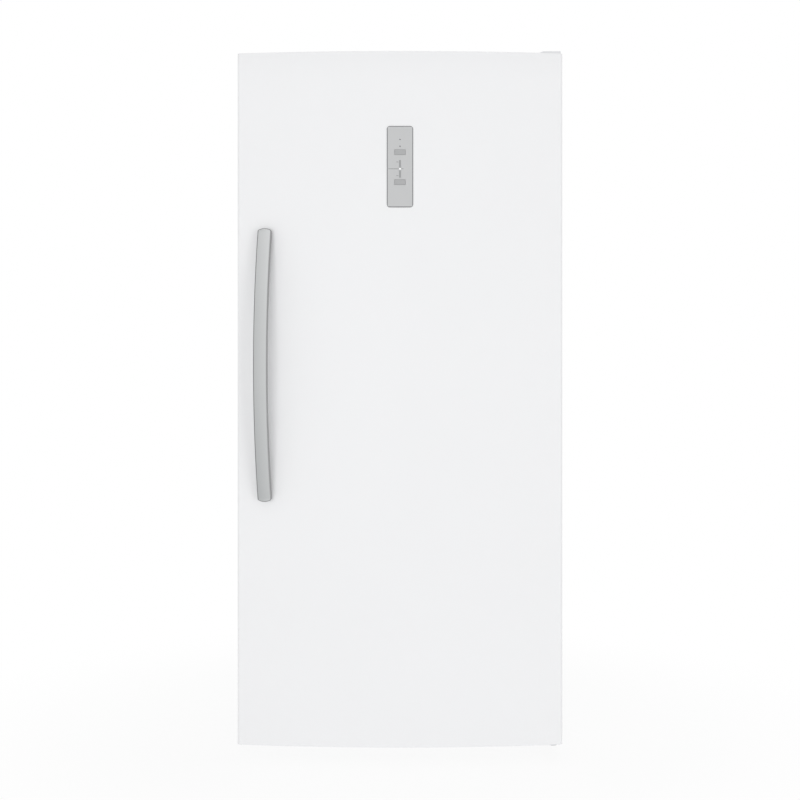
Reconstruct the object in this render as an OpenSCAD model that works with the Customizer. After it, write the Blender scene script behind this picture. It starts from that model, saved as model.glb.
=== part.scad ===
// Single door refrigerator with a bowed door, a bar handle and a control panel in the door.
// X runs to the right, Y to the back and Z up. The origin is on the floor under the middle.

/* [Cabinet] */
// Width of the cabinet and the door
cabinet_w = 813; // [760:1:900]
// Depth of the cabinet without its door
cabinet_d = 590; // [560:1:680]
// Height of the cabinet's top above the floor
cabinet_h = 1766; // [1700:1:1850]
// Thickness of the painted steel sheet
sheet_t = 1; // [0.8:0.1:1.5]
// Height of the side panels' lower edge above the floor
skirt_h = 23; // [15:1:26]
// Height of the insulated box's underside above the floor
base_h = 60; // [58:1:70]
// Width of the steel face round the food compartment
face_w = 40; // [30:1:44]

/* [Food compartment] */
// Thickness of each side wall with its insulation
wall_t = 55; // [50:1:62]
// Thickness of the insulated floor
floor_t = 60; // [50:1:70]
// Thickness of the insulated roof
roof_t = 60; // [50:1:70]
// Thickness of the insulated back
back_t = 55; // [45:1:70]
// Thickness of the plastic liners
liner_t = 2; // [1.5:0.1:3]

/* [Machine space] */
// Depth of the machine space at the bottom of the back
machine_d = 228; // [220:1:250]
// Height of the machine space above the insulated box's underside
machine_h = 202; // [196:1:215]
// Insulation in front of the machine space
hump_front_t = 62; // [50:1:70]
// Insulation on top of the machine space
hump_top_t = 48; // [40:1:60]
// Height of the compressor tray above the floor
tray_h = 40; // [39:0.5:44]
// Thickness of the compressor tray
tray_t = 2; // [1.5:0.5:3]

/* [Door] */
// Gap between the floor and the door
door_h0 = 42; // [41:0.5:50]
// Height of the door's top above the cabinet's top
door_rise = 4; // [3:0.5:5]
// Thickness of the door at its side edges
door_t = 50; // [45:1:60]
// Extra depth of the bowed front at its middle
door_bow = 26; // [15:1:35]
// Gap between the door's back and the cabinet, which the gasket fills
gasket_t = 10; // [9:0.5:14]
// Width of the gasket
gasket_w = 22; // [16:1:24]
// Radius of the door's front corners, seen from above
corner_r = 8; // [4:0.5:14]
// Width of the steel lip behind the door's edges
lip_w = 22; // [15:1:24]
// Thickness of the plastic caps in the door's top and bottom
cap_t = 12; // [8:1:20]

/* [Handle] */
// Distance from the door's side to the handle's middle
handle_in = 72.5; // [60:0.5:110]
// Distance from the door's top down to the handle
handle_drop = 439; // [400:1:520]
// Length of the handle
handle_len = 680; // [500:1:750]
// Width of the handle
handle_w = 34.4; // [24:0.2:40]
// Thickness of the handle
handle_t = 14; // [10:0.5:16]
// Distance from the middle of the bowed door to the front of the handle
handle_reach = 50; // [40:1:60]
// Distance from the door to the handle's front at its two ends
handle_end = 18; // [16:0.5:24]
// Length of each handle mount
mount_len = 36; // [20:1:50]
// Width of each handle mount
mount_w = 18; // [12:1:22]

/* [Control panel] */
// Width of the panel
panel_w = 64.5; // [60:0.5:80]
// Height of the panel
panel_len = 201; // [190:1:240]
// Distance from the door's top down to the panel
panel_drop = 186.5; // [120:1:240]
// Thickness of the panel
panel_t = 3; // [2:0.1:4]
// How far the panel stands proud of the door
panel_proud = 1.2; // [0.6:0.1:1.8]
// Radius of the panel's corners
panel_r = 7; // [3:0.5:12]
// Width of the two buttons
button_w = 27; // [20:0.5:32]
// Height of the two buttons
button_h = 13; // [9:0.5:15]
// Height of the upper button's middle above the panel's lower edge
button_high = 136.5; // [130:0.5:150]
// Height of the lower button's middle above the panel's lower edge
button_low = 62.5; // [50:0.5:64]
// How far the buttons stand proud of the panel
button_proud = 1; // [0.9:0.1:2]
// Travel of the buttons
button_travel = 0.8; // [0.4:0.1:0.8]
// Width of the light bar
light_w = 4.2; // [3:0.1:8]
// Length of the light bar
light_len = 43.5; // [30:0.5:46]
// Height of the light bar's middle above the panel's lower edge
light_high = 95; // [94:0.5:100]

/* [Hinges] */
// Distance from the cabinet's side to the hinge axis
hinge_in = 20.5; // [18:0.5:22]
// Distance from the door's back to the hinge axis
hinge_deep = 25; // [22:0.5:25]
// Diameter of the hinge pins
pin_d = 10; // [8:0.5:12]
// Running clearance round a pin or a shaft
running = 0.07; // [0.04:0.01:0.1]
// Thickness of the hinge bushes' sleeves
bush_t = 3; // [2:0.5:4]
// Length of the hinge pins below or above their arms
pin_len = 30; // [20:1:40]
// Thickness of the hinge arms
hinge_arm_t = 4; // [3:0.5:5]
// Height of the hinge cover above the cabinet's top
cover_h = 20; // [18:1:26]

/* [Shelves] */
// Number of shelves above the drawers
shelf_count = 3; // [2:1:3]
// Height of the lowest shelf above the food compartment's floor
shelf_first = 530; // [480:5:560]
// Distance from shelf to shelf
shelf_pitch = 310; // [280:5:320]
// Thickness of the shelf frames
shelf_t = 16; // [12:1:20]
// Gap between the shelves and the air duct
shelf_gap = 5; // [3:1:40]
// Width of the shelf frames' rims
shelf_rim = 26; // [18:1:36]
// Thickness of the glass panes
glass_t = 4; // [3:0.5:5]
// Distance from the cabinet's face to the shelves
shelf_set_back = 112; // [108:1:120]
// Width of the ledges that carry the shelves
ledge_w = 10; // [7:1:14]
// Height of the ledges
ledge_h = 8; // [5:1:12]

/* [Drawers] */
// Height of the drawers
drawer_h = 200; // [160:5:206]
// Depth of the drawers
drawer_d = 196; // [160:2:198]
// Thickness of the drawers' walls
drawer_t = 3; // [2:0.5:4]
// Gap between the two drawers
drawer_gap = 14; // [10:1:24]
// Distance from the drawers to the side walls
drawer_side = 6; // [4:1:12]
// Height of the drawer cover above the food compartment's floor
drawer_cover_h = 215; // [212:1:230]

/* [Door storage] */
// Distance from the food compartment's side walls to the liner's raised ribs
rib_side = 6.5; // [6.5:0.5:16]
// Width of the raised ribs at the sides
rib_w = 49; // [40:1:60]
// Height of the raised ribs over the door's back
rib_h = 45; // [35:1:50]
// Height of the lower rib's underside above the floor
rib_h0 = 352; // [346:1:380]
// Distance from the food compartment's roof down to the top rib
rib_drop = 26; // [22:1:40]
// Number of bins
bin_count = 3; // [1:1:3]
// Gap between the lower rib and the lowest bin
bin_gap = 24; // [20:1:50]
// Distance from bin to bin
bin_pitch = 310; // [280:5:315]
// Height of the bins
bin_h = 120; // [90:5:140]
// Depth of the bins
bin_d = 110; // [90:1:112]
// Thickness of the bins' walls
bin_t = 3; // [2:0.5:4]
// Distance from the food compartment's roof down to the dairy box
dairy_drop = 174; // [146:1:186]
// Height of the dairy box
dairy_h = 160; // [130:5:180]
// Depth of the dairy box
dairy_d = 96; // [80:1:98]
// Diameter of the dairy flap's pivots
flap_pin_d = 6; // [4:0.5:8]

/* [Cooling] */
// Width of the air duct cover
duct_w = 520; // [480:5:560]
// Depth of the air duct
duct_d = 58; // [55:1:60]
// Height of the drain trough above the food compartment's floor
duct_h0 = 300; // [280:5:320]
// Distance from the food compartment's roof down to the air duct
duct_drop = 66; // [40:1:180]
// Thickness of the duct cover
duct_t = 2.5; // [2:0.1:4]
// Width of the evaporator
coil_w = 440; // [380:5:460]
// Height of the evaporator
coil_h = 300; // [240:5:340]
// Depth of the evaporator
coil_d = 40; // [32:1:44]
// Diameter of the refrigerant tubes
tube_d = 8; // [6:0.5:9]
// Diameter of the evaporator fan
fan_d = 104; // [80:2:120]
// Diameter of the condenser fan
big_fan_d = 124; // [100:2:130]
// Diameter of the fan shafts
shaft_d = 5; // [4:0.5:6]
// Diameter of the compressor
compressor_d = 156; // [130:2:160]
// Height of the compressor
compressor_h = 168; // [150:2:180]
// Diameter of the drain tube
drain_d = 18; // [14:1:22]

/* [Feet] */
// Diameter of the levelling feet
foot_d = 36; // [30:1:46]
// Diameter of the levelling screws
foot_screw_d = 10; // [8:0.5:12]
// Distance from the cabinet's sides to the levelling feet
foot_in = 76.5; // [72:0.5:96]
// Diameter of the rear rollers
roller_d = 36; // [30:1:37]
// Width of the rear rollers
roller_w = 16; // [12:1:24]
// Distance from the cabinet's sides to the rear rollers
roller_in = 61.5; // [46:0.5:76]
// Diameter of the rollers' axles
axle_d = 6; // [5:0.5:8]

/* [Hidden] */
// Gap between pieces that lie against each other but move apart
near = 0.3;
// Play between pieces that are fixed to each other
seam = 0.05;
// How far a cutting shape runs past the face that it cuts
past = 1;
half_w = cabinet_w / 2;
total_d = cabinet_d + gasket_t + door_t + door_bow + handle_reach;

// Places along Y, from the back to the handle
y_back = total_d / 2;
y_face = y_back - cabinet_d;
y_door = y_face - gasket_t;
y_edge = y_door - door_t;
y_apex = y_edge - door_bow;
y_rear_wall = y_back - back_t;
y_machine = y_back - machine_d;
y_hump = y_machine - hump_front_t;

// Places along X and Z
room_x = half_w - wall_t;
room_z0 = base_h + floor_t;
room_z1 = cabinet_h - roof_t;
machine_z1 = base_h + machine_h;
hump_z = machine_z1 + hump_top_t;
door_z1 = cabinet_h + door_rise;
skin_inner_x = half_w - lip_w;
panel_z1 = door_z1 - panel_drop;
panel_h0 = panel_z1 - panel_len;

// Door front: one arc with small rounded corners
bow_r = (pow(half_w, 2) + pow(door_bow, 2)) / (2 * door_bow);
bow_y = y_apex + bow_r;
bow_steps = 36;
tip_steps = 5;
tip_x = half_w - corner_r;
tip_y = bow_y - sqrt(pow(bow_r - corner_r, 2) - pow(tip_x, 2));
tip_a = atan2(tip_y - bow_y, tip_x);

// Hinge axis
hinge_x = half_w - hinge_in;
hinge_y = y_door - hinge_deep;
bush_flange_t = 0.7;
top_arm_z = door_z1 + bush_flange_t + near;
bottom_arm_z = door_h0 - 2;
hinge_plate_w = 34;
hinge_screw_d = 6;
cover_w = 57;

// Handle: an arc in a plane that leans outward with the door's front
handle_x = half_w - handle_in;
handle_lean = asin(handle_x / bow_r) + 2;
handle_root_y = bow_y - sqrt(pow(bow_r, 2) - pow(handle_x, 2));
handle_z = door_z1 - handle_drop - handle_len / 2;
handle_out = handle_root_y - (y_apex - handle_reach);
handle_front = handle_out / cos(handle_lean) - handle_w / 2 * tan(handle_lean);
handle_sag = handle_front - handle_end;
handle_r = (pow(handle_len / 2, 2) + pow(handle_sag, 2)) / (2 * handle_sag);

// Control panel
panel_y = y_apex - panel_proud;
panel_back = panel_y + panel_t;
housing_d = 26;
housing_t = 2;
housing_in = 1;
housing_rim = 4;
board_t = 1.6;
button_flange = 2;
button_flange_t = 1.5;
board_y = panel_back + 9;

// Shelves
shelf_y0 = y_face + shelf_set_back;
shelf_d = y_rear_wall - duct_d - shelf_gap - shelf_y0;
shelf_half = room_x - 1.5;
shelf_zs = [for (i = [0:shelf_count - 1]) room_z0 + shelf_first + i * shelf_pitch];
drawer_cover_z = room_z0 + drawer_cover_h;
drawer_w = room_x - drawer_gap / 2 - drawer_side;
drawer_y0 = y_hump - drawer_d - 4;
pane_lap = 12;
pane_play = 0.5;

// Door storage
rib_x = room_x - rib_side;
rib_z1 = room_z1 - rib_drop;
rib_in = rib_x - rib_w;
rib_bar = 34;
lug_w = 6;
lug_d = 26;
lug_h = 44;
lug_y = y_door + 8;
bin_end_t = lug_w + bin_t;
bin_zs = [for (i = [0:bin_count - 1]) rib_h0 + rib_bar + bin_gap + i * bin_pitch];
flap_t = 3;
flap_y = y_door + dairy_d - 8;
dairy_z1 = room_z1 - dairy_drop;
dairy_h0 = dairy_z1 - dairy_h;
flap_z = dairy_z1 - 10;

// Air duct
duct_z0 = room_z0 + duct_h0;
duct_z1 = room_z1 - duct_drop;
duct_y = y_rear_wall - duct_d;
coil_z = duct_z0 + 60;
coil_y = y_rear_wall - 6 - coil_d / 2;
fan_z = coil_z + coil_h + fan_d / 2 + 60;
fan_y = duct_y + 20;
trough_h = 16;
trough_t = 2;
heater_d = 8;
heater_z = coil_z - 12;

// Machine space
compressor_x = half_w - 216.5;
compressor_y = y_machine + machine_d / 2;
compressor_foot = 62;
compressor_foot_w = 28;
bolt_r = 4;
grommet_h = 12;
grommet_r = 11;
compressor_z = tray_h + tray_t + grommet_h;
condenser_x = 86.5 - half_w;
condenser_d = 150;
condenser_h = 160;
condenser_fins = 12;
condenser_foot_h = 14;
condenser_half = 50;
condenser_z = tray_h + tray_t + condenser_foot_h + condenser_h / 2;
condenser_ys = [for (i = [0:4]) compressor_y - condenser_d / 2 + 20 + i * (condenser_d - 40) / 4];
suction_x = -coil_w / 2 - 26;
capillary_d = 5;
capillary_x = suction_x - 6;
capillary_y = coil_y + 16;
big_fan_x = 216.5 - half_w;
big_fan_z = tray_h + tray_t + big_fan_d / 2 + 46;
pan_x0 = -105;
pan_x1 = 60;
pan_h = 36;
gland_x = half_w - 76.5;
gland_z = tray_h + 60;
gland_r = 8;
cover_plate_y = y_back - 4;
tray_lip_h = 24;
louvre_w = 140;
louvre_h = 6;
louvre_pitch = 170;
louvre_x = -80;
drier_len = 66;
drier_r = 9;

// Light and switch
lens_w = 260;
lens_d = 80;
lens_h = 14;
lens_t = 3;
lens_set_back = 30;
switch_x = -60;
switch_w = 26;
switch_h = 18;
switch_d = 46;
plunger_d = 8;

// Feet
foot_x = half_w - foot_in;
foot_y = y_face + 98;
foot_plate_h = 8;
foot_nut_h = 26;
boss_h = 12;
rail_d = 110;
rail_t = 2;
rail_z = bottom_arm_z;
roller_x = half_w - roller_in;
roller_y = y_back - 62;
bracket_d = 28;
cheek_t = 3;
cheek_drop = 9;
roller_z = roller_d / 2;

// Shared shapes

// A box given by its lowest and highest value along X, Y and Z
module block(x, y, z) {
    translate([x[0], y[0], z[0]]) cube([x[1] - x[0], y[1] - y[0], z[1] - z[0]]);
}

// The children, and the same on the other side of the middle
module both() {
    children();
    mirror([1, 0, 0]) children();
}

// A rod along X, Y or Z that starts at a point
module rod_x(p, r, len) { translate(p) rotate([0, 90, 0]) cylinder(r = r, h = len, $fn = 48); }
module rod_y(p, r, len) { translate(p) rotate([-90, 0, 0]) cylinder(r = r, h = len, $fn = 48); }
module rod_z(p, r, len) { translate(p) cylinder(r = r, h = len, $fn = 48); }

// Corner points of a rounded rectangle round the origin
function round_rect(w, h, r, steps = 4) = [
    for (q = [0:3]) for (i = [0:steps])
        let (a = 90 * q + 90 * i / steps, sx = (q == 0 || q == 3) ? 1 : -1, sy = q < 2 ? 1 : -1)
            [sx * (w / 2 - r) + r * cos(a), sy * (h / 2 - r) + r * sin(a)]];

// A rounded plate that faces the front
module front_plate(w, h, r, x, y, z) {
    translate([x, y[1], z]) rotate([90, 0, 0])
        linear_extrude(y[1] - y[0]) polygon(round_rect(w, h, r));
}

// The door's outline from above, drawn in by an even amount
function door_outline(inset = 0) = let (r = corner_r - inset, b = bow_r - inset) concat(
    [[half_w - inset, y_door - inset]],
    [for (i = [0:tip_steps]) let (a = tip_a * i / tip_steps) [tip_x + r * cos(a), tip_y + r * sin(a)]],
    [for (i = [1:bow_steps - 1]) let (a = tip_a - (180 + 2 * tip_a) * i / bow_steps)
        [b * cos(a), bow_y + b * sin(a)]],
    [for (i = [tip_steps:-1:0]) let (a = tip_a * i / tip_steps) [-tip_x - r * cos(a), tip_y + r * sin(a)]],
    [[inset - half_w, y_door - inset]]);

module door_prism(inset, z) {
    translate([0, 0, z[0]]) linear_extrude(z[1] - z[0]) polygon(door_outline(inset));
}

// The bore for a hinge bush through the door's top or bottom
module bush_hole() {
    r = pin_d / 2 + running + bush_t;
    rod_z([hinge_x, hinge_y, door_z1 - pin_len - 4], r, pin_len + 4 + past);
    rod_z([hinge_x, hinge_y, door_h0 - past], r, pin_len + 4 + past);
}

// Cabinet

module cabinet_shell() color("white") difference() {
    block([-half_w, half_w], [y_face, y_back], [skirt_h, cabinet_h]);
    // Inside, left open at the back
    block([sheet_t - half_w, half_w - sheet_t], [y_face + sheet_t, y_back + past],
        [skirt_h - past, cabinet_h - sheet_t]);
    // Opening in the steel face
    block([face_w - half_w, half_w - face_w], [y_face - past, y_face + sheet_t + past],
        [base_h, cabinet_h - face_w]);
    // Below the box the face is left off
    block([sheet_t - half_w, half_w - sheet_t], [y_face - past, y_face + sheet_t + past],
        [skirt_h - past, base_h]);
    hinge_screw_holes(cabinet_h - sheet_t - past, sheet_t + 2 * past);
}

module rear_panel() color("gainsboro") block([sheet_t - half_w, half_w - sheet_t],
    [y_back - sheet_t, y_back], [machine_z1, cabinet_h - sheet_t]);

// One bent sheet: under the box, up the front of the machine space and back over it
module bottom_plate() color("white") difference() {
    union() {
        block([sheet_t - half_w, half_w - sheet_t], [y_face + sheet_t, y_machine], [base_h, base_h + sheet_t]);
        block([face_w - half_w, half_w - face_w], [y_face, y_face + sheet_t], [base_h, base_h + face_w]);
        block([sheet_t - half_w, half_w - sheet_t], [y_machine - sheet_t, y_machine],
            [base_h, machine_z1]);
        block([sheet_t - half_w, half_w - sheet_t], [y_machine - sheet_t, y_back - sheet_t],
            [machine_z1 - sheet_t, machine_z1]);
    }
    line_holes();
}

// Holes for the drain tube and the two refrigerant lines to the evaporator
module line_holes() {
    rod_z([0, coil_y, tray_h], drain_d / 2, coil_z - tray_h);
    rod_z([suction_x, coil_y, tray_h], tube_d / 2, coil_z - tray_h);
    rod_z([capillary_x, capillary_y, tray_h], capillary_d / 2, coil_z - tray_h);
}

module compressor_tray() color("silver") difference() {
    union() {
        block([sheet_t - half_w, half_w - sheet_t], [y_machine, cover_plate_y], [tray_h, tray_h + tray_t]);
        block([sheet_t - half_w, half_w - sheet_t], [y_machine, y_machine + tray_t],
            [tray_h, base_h + tray_lip_h]);
        both() block([sheet_t - half_w, sheet_t + tray_t - half_w], [y_machine, cover_plate_y],
            [tray_h, tray_h + tray_lip_h]);
    }
    compressor_bolts(tray_h - past, tray_t + 2 * past);
}

module cabinet_foam() color("khaki") difference() {
    block([sheet_t - half_w, half_w - sheet_t], [y_face + sheet_t, y_back - sheet_t],
        [base_h + sheet_t, cabinet_h - sheet_t]);
    // Food compartment with its liner
    block([-room_x - liner_t, room_x + liner_t], [y_face - past, y_rear_wall + liner_t],
        [hump_z - liner_t, room_z1 + liner_t]);
    block([-room_x - liner_t, room_x + liner_t], [y_face - past, y_hump + liner_t],
        [room_z0 - liner_t, hump_z]);
    // Front edge of the liner
    liner_flange(y_face - past);
    // Machine space
    block([-half_w, half_w], [y_machine - sheet_t, y_back], [base_h, machine_z1]);
    line_holes();
}

// The liner's front edge, from the compartment out to the steel face
module liner_flange(y0) {
    difference() {
        block([face_w - half_w, half_w - face_w], [y0, y_face + liner_t],
            [base_h + face_w, cabinet_h - face_w]);
        block([-room_x, room_x], [y0 - past, y_face + liner_t + past], [room_z0, room_z1]);
    }
}

module cabinet_liner() color("white") difference() {
    union() {
        difference() {
            union() {
                block([-room_x - liner_t, room_x + liner_t], [y_face, y_rear_wall + liner_t],
                    [hump_z - liner_t, room_z1 + liner_t]);
                block([-room_x - liner_t, room_x + liner_t], [y_face, y_hump + liner_t],
                    [room_z0 - liner_t, hump_z]);
            }
            block([-room_x, room_x], [y_face - past, y_rear_wall], [hump_z, room_z1]);
            block([-room_x, room_x], [y_face - past, y_hump], [room_z0, hump_z + past]);
        }
        liner_flange(y_face);
        for (z = concat(shelf_zs, [drawer_cover_z]))
            both() block([room_x - ledge_w, room_x + past / 2], [shelf_y0, shelf_y0 + shelf_d],
                [z - ledge_h, z]);
    }
    line_holes();
}

module front_rail() color("white") difference() {
    x = [sheet_t - half_w, half_w - sheet_t];
    union() {
        block(x, [y_face, y_face + rail_d], [rail_z, rail_z + rail_t]);
        block(x, [y_face, y_face + rail_t], [rail_z, base_h]);
        block(x, [y_face, y_face + rail_d], [base_h - rail_t, base_h]);
        both() rod_z([foot_x, foot_y, rail_z - boss_h], foot_screw_d / 2 + 5, boss_h + past);
    }
    both() rod_z([foot_x, foot_y, 0], foot_screw_d / 2 + running, rail_z + rail_t + past);
    for (y = bottom_screw_ys()) rod_z([hinge_x, y, rail_z - past], hinge_screw_d / 2, rail_t + 2 * past);
}

module toe_grille() color("whitesmoke") {
    x0 = 6 - half_w;
    x1 = hinge_x - hinge_plate_w / 2 - 4;
    slot_len = 110;
    pitch = 122;
    difference() {
        union() {
            block([x0, x1], [y_face, y_face + 3], [skirt_h + 1, rail_z]);
            block([x0, x1], [y_face, y_face + 14], [rail_z - 2, rail_z]);
        }
        for (i = [0:floor((x1 - x0 - 10) / pitch) - 1], z = [skirt_h + 4, skirt_h + 9])
            if (z + 2.6 < rail_z - 2)
                block([x0 + 12 + i * pitch, x0 + 12 + i * pitch + slot_len],
                    [y_face - past, y_face + 3 + past], [z, z + 2.6]);
    }
}

// Hinges

function top_screw_ys() = [y_face + 32, y_face + 66];
function bottom_screw_ys() = [y_face + 18, y_face + 54];

module hinge_screw_holes(z, len) {
    for (y = top_screw_ys()) rod_z([hinge_x - 2, y, z], hinge_screw_d / 2, len);
}

module top_hinge() color("silver") {
    x = [hinge_x - hinge_plate_w / 2, hinge_x + hinge_plate_w / 2 - 5];
    difference() {
        union() {
            block(x, [y_face + 4, y_face + 82], [cabinet_h, top_arm_z]);
            block(x, [hinge_y - 2, y_face + 14], [top_arm_z, top_arm_z + hinge_arm_t]);
            rod_z([hinge_x - 2, hinge_y, top_arm_z], 12, hinge_arm_t);
            rod_z([hinge_x, hinge_y, door_z1 - pin_len], pin_d / 2, top_arm_z + 1 - door_z1 + pin_len);
        }
        hinge_screw_holes(cabinet_h - past, top_arm_z - cabinet_h + 2 * past);
    }
}

module bottom_hinge() color("silver") {
    z = bottom_arm_z - hinge_arm_t;
    x = [hinge_x - hinge_plate_w / 2, hinge_x + hinge_plate_w / 2 - 3];
    difference() {
        union() {
            block(x, [hinge_y, y_face + rail_d - 4], [z, bottom_arm_z]);
            rod_z([hinge_x - 2, hinge_y, z], 12, hinge_arm_t);
            rod_z([hinge_x, hinge_y, z + 1], pin_d / 2, door_h0 + pin_len - z - 1);
        }
        for (y = bottom_screw_ys()) rod_z([hinge_x, y, z - past], hinge_screw_d / 2, hinge_arm_t + 2 * past);
    }
}

// Hexagon heads with their shanks, through the hinge plates
module hinge_screws() color("gray") {
    for (y = top_screw_ys()) {
        rod_z([hinge_x - 2, y, cabinet_h - sheet_t], hinge_screw_d / 2, top_arm_z - cabinet_h + sheet_t + 1);
        translate([hinge_x - 2, y, top_arm_z]) cylinder(d = 11, h = 4, $fn = 6);
    }
    for (y = bottom_screw_ys()) {
        rod_z([hinge_x, y, bottom_arm_z - hinge_arm_t - 1], hinge_screw_d / 2, hinge_arm_t + rail_t + 1);
        translate([hinge_x, y, bottom_arm_z - hinge_arm_t - 4]) cylinder(d = 11, h = 4, $fn = 6);
    }
}

// A low cap over the top hinge: higher over the cabinet than over the door
module cover_solid(inset) {
    x0 = half_w - cover_w + inset;
    x1 = half_w - 4 - inset;
    y0 = hinge_y - 18 + inset;
    y1 = y_face + 88 - inset;
    top = cabinet_h + cover_h - inset;
    low = top_arm_z + 6.2 - inset;
    z0 = cabinet_h - (inset > 0 ? past : 0);
    intersection() {
        translate([x0, 0, 0]) rotate([90, 0, 90]) linear_extrude(x1 - x0)
            polygon([[y0, z0], [y0, low], [y_face + 12, top], [y1 - 5, top], [y1, top - 5], [y1, z0]]);
        translate([0, y1, 0]) rotate([90, 0, 0]) linear_extrude(y1 - y0)
            polygon([[x0, z0], [x0 + 2, cabinet_h + 8], [x0 + 26, top], [x1 - 4, top], [x1, top - 4], [x1, z0]]);
    }
}

module top_hinge_cover() color("white") difference() {
    cover_solid(0);
    cover_solid(1.6);
    // Room for the door to swing under the front part
    block([half_w - cover_w - past, half_w], [y_edge - door_bow, y_face], [cabinet_h - past, door_z1 + 1]);
}

// Food compartment

module shelf_frame(z) difference() {
    block([-shelf_half, shelf_half], [shelf_y0, shelf_y0 + shelf_d], [z, z + shelf_t]);
    block([shelf_rim - shelf_half, shelf_half - shelf_rim],
        [shelf_y0 + shelf_rim, shelf_y0 + shelf_d - shelf_rim], [z - past, z + shelf_t + past]);
    block([shelf_rim - pane_lap - shelf_half, shelf_half - shelf_rim + pane_lap],
        [shelf_y0 + shelf_rim - pane_lap, shelf_y0 + shelf_d - shelf_rim + pane_lap],
        [z + shelf_t - glass_t, z + shelf_t + past]);
}

module shelf_pane(z) block(
    [shelf_rim - pane_lap + pane_play - shelf_half, shelf_half - shelf_rim + pane_lap - pane_play],
    [shelf_y0 + shelf_rim - pane_lap + pane_play, shelf_y0 + shelf_d - shelf_rim + pane_lap - pane_play],
    [z + shelf_t - glass_t, z + shelf_t]);

module shelf_frames() color("white") for (z = shelf_zs) shelf_frame(z);
module shelf_glass() color("lightblue") for (z = concat(shelf_zs, [drawer_cover_z])) shelf_pane(z);

// The frame over the two drawers, with the post that stands between them
module drawer_cover() color("white") {
    post = drawer_gap / 2 - 3;
    shelf_frame(drawer_cover_z);
    block([-post, post], [shelf_y0 + 4, shelf_y0 + shelf_rim], [room_z0, drawer_cover_z + past / 2]);
}

module crisper(side) {
    x0 = drawer_gap / 2;
    x1 = x0 + drawer_w;
    y1 = drawer_y0 + drawer_d;
    z0 = room_z0 + near;
    z1 = z0 + drawer_h;
    grip = 20;
    color("aliceblue") mirror([side, 0, 0]) difference() {
        union() {
            block([x0, x1], [drawer_y0, y1], [z0, z1]);
            block([x0 + 40, x1 - 40], [drawer_y0 - grip, drawer_y0 + past / 2], [z1 - 26, z1]);
        }
        block([x0 + drawer_t, x1 - drawer_t], [drawer_y0 + drawer_t, y1 - drawer_t],
            [z0 + drawer_t, z1 + past]);
        block([x0 + 40 + drawer_t, x1 - 40 - drawer_t], [drawer_y0 - grip + drawer_t, drawer_y0],
            [z1 - 26 - past, z1 - drawer_t]);
    }
}

// Air duct that stands on the hump, with its return slots below and its supply slots above
module evaporator_cover() color("white") {
    slot_w = 90;
    slot_h = 7;
    low_zs = [for (i = [0:2]) duct_z0 + 14 + i * 14];
    high_zs = [for (z = [duct_z1 - 60, duct_z1 - 330, duct_z1 - 600], i = [0:2]) z + i * 14];
    difference() {
        block([-duct_w / 2, duct_w / 2], [duct_y, y_rear_wall], [hump_z, duct_z1]);
        block([duct_t - duct_w / 2, duct_w / 2 - duct_t], [duct_y + duct_t, y_rear_wall + past],
            [hump_z - past, duct_z1 - duct_t]);
        for (z = concat(low_zs, high_zs), x = [-1, 0, 1])
            block([x * 130 - slot_w / 2, x * 130 + slot_w / 2], [duct_y - past, duct_y + duct_t + past],
                [z, z + slot_h]);
    }
}

// Fins and end plates on a tube that runs to and fro
module evaporator_coil() color("silver") {
    fins = 18;
    fin_t = 1;
    runs = 6;
    pitch = (coil_h - 40) / (runs - 1);
    z0 = coil_z + 20;
    plate_x = coil_w / 2;
    for (i = [0:fins - 1]) {
        x = -plate_x + 24 + i * (coil_w - 48) / (fins - 1);
        block([x - fin_t / 2, x + fin_t / 2], [coil_y - coil_d / 2, coil_y + coil_d / 2],
            [coil_z, coil_z + coil_h]);
    }
    both() difference() {
        block([plate_x - 4, plate_x - 2], [coil_y - coil_d / 2, y_rear_wall], [coil_z - 24, coil_z + coil_h]);
        rod_x([plate_x - 5, coil_y, heater_z], heater_d / 2, 4);
    }
    for (i = [0:runs - 1]) rod_x([-plate_x, coil_y, z0 + i * pitch], tube_d / 2, coil_w);
    for (i = [0:runs - 2]) tube_bend(i % 2 ? -1 : 1, plate_x, z0 + (i + 0.5) * pitch, pitch / 2);
}

// Half a turn of tube at the end of two runs
module tube_bend(side, x, z, r) {
    translate([side * x, coil_y, z]) rotate([90, 0, 0]) rotate([0, 0, side > 0 ? -90 : 90])
        rotate_extrude(angle = 180, $fn = 48) translate([r, 0]) circle(r = tube_d / 2, $fn = 24);
}

module evaporator_fan_motor() color("dimgray") {
    rod_y([0, fan_y + 14, fan_z], 24, y_rear_wall - fan_y - 14);
    rod_y([0, fan_y - 8, fan_z], shaft_d / 2, 30);
}

module fan(r, hub_r, hub_len, blades, pitch) {
    difference() {
        union() {
            cylinder(r = hub_r, h = hub_len, $fn = 48);
            for (i = [0:blades - 1]) rotate([0, 0, 360 * i / blades]) intersection() {
                translate([hub_r - 2, 0, hub_len / 2]) rotate([pitch, 0, 0])
                    translate([0, -r * 0.28, -0.9]) cube([r - hub_r + 2, r * 0.56, 1.8]);
                cylinder(r = r, h = hub_len, $fn = 96);
            }
        }
        translate([0, 0, -past]) cylinder(r = shaft_d / 2 + running, h = hub_len + 2 * past, $fn = 48);
    }
}

module evaporator_fan() color("black")
    translate([0, fan_y + 12, fan_z]) rotate([90, 0, 0]) fan(fan_d / 2, 16, 16, 5, 24);

module defrost_heater() color("saddlebrown") {
    rod_x([-coil_w / 2 + 2, coil_y, heater_z], heater_d / 2, coil_w - 4);
    both() rod_x([coil_w / 2 - 2, coil_y, heater_z], heater_d / 2 + 2, 12);
}

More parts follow.
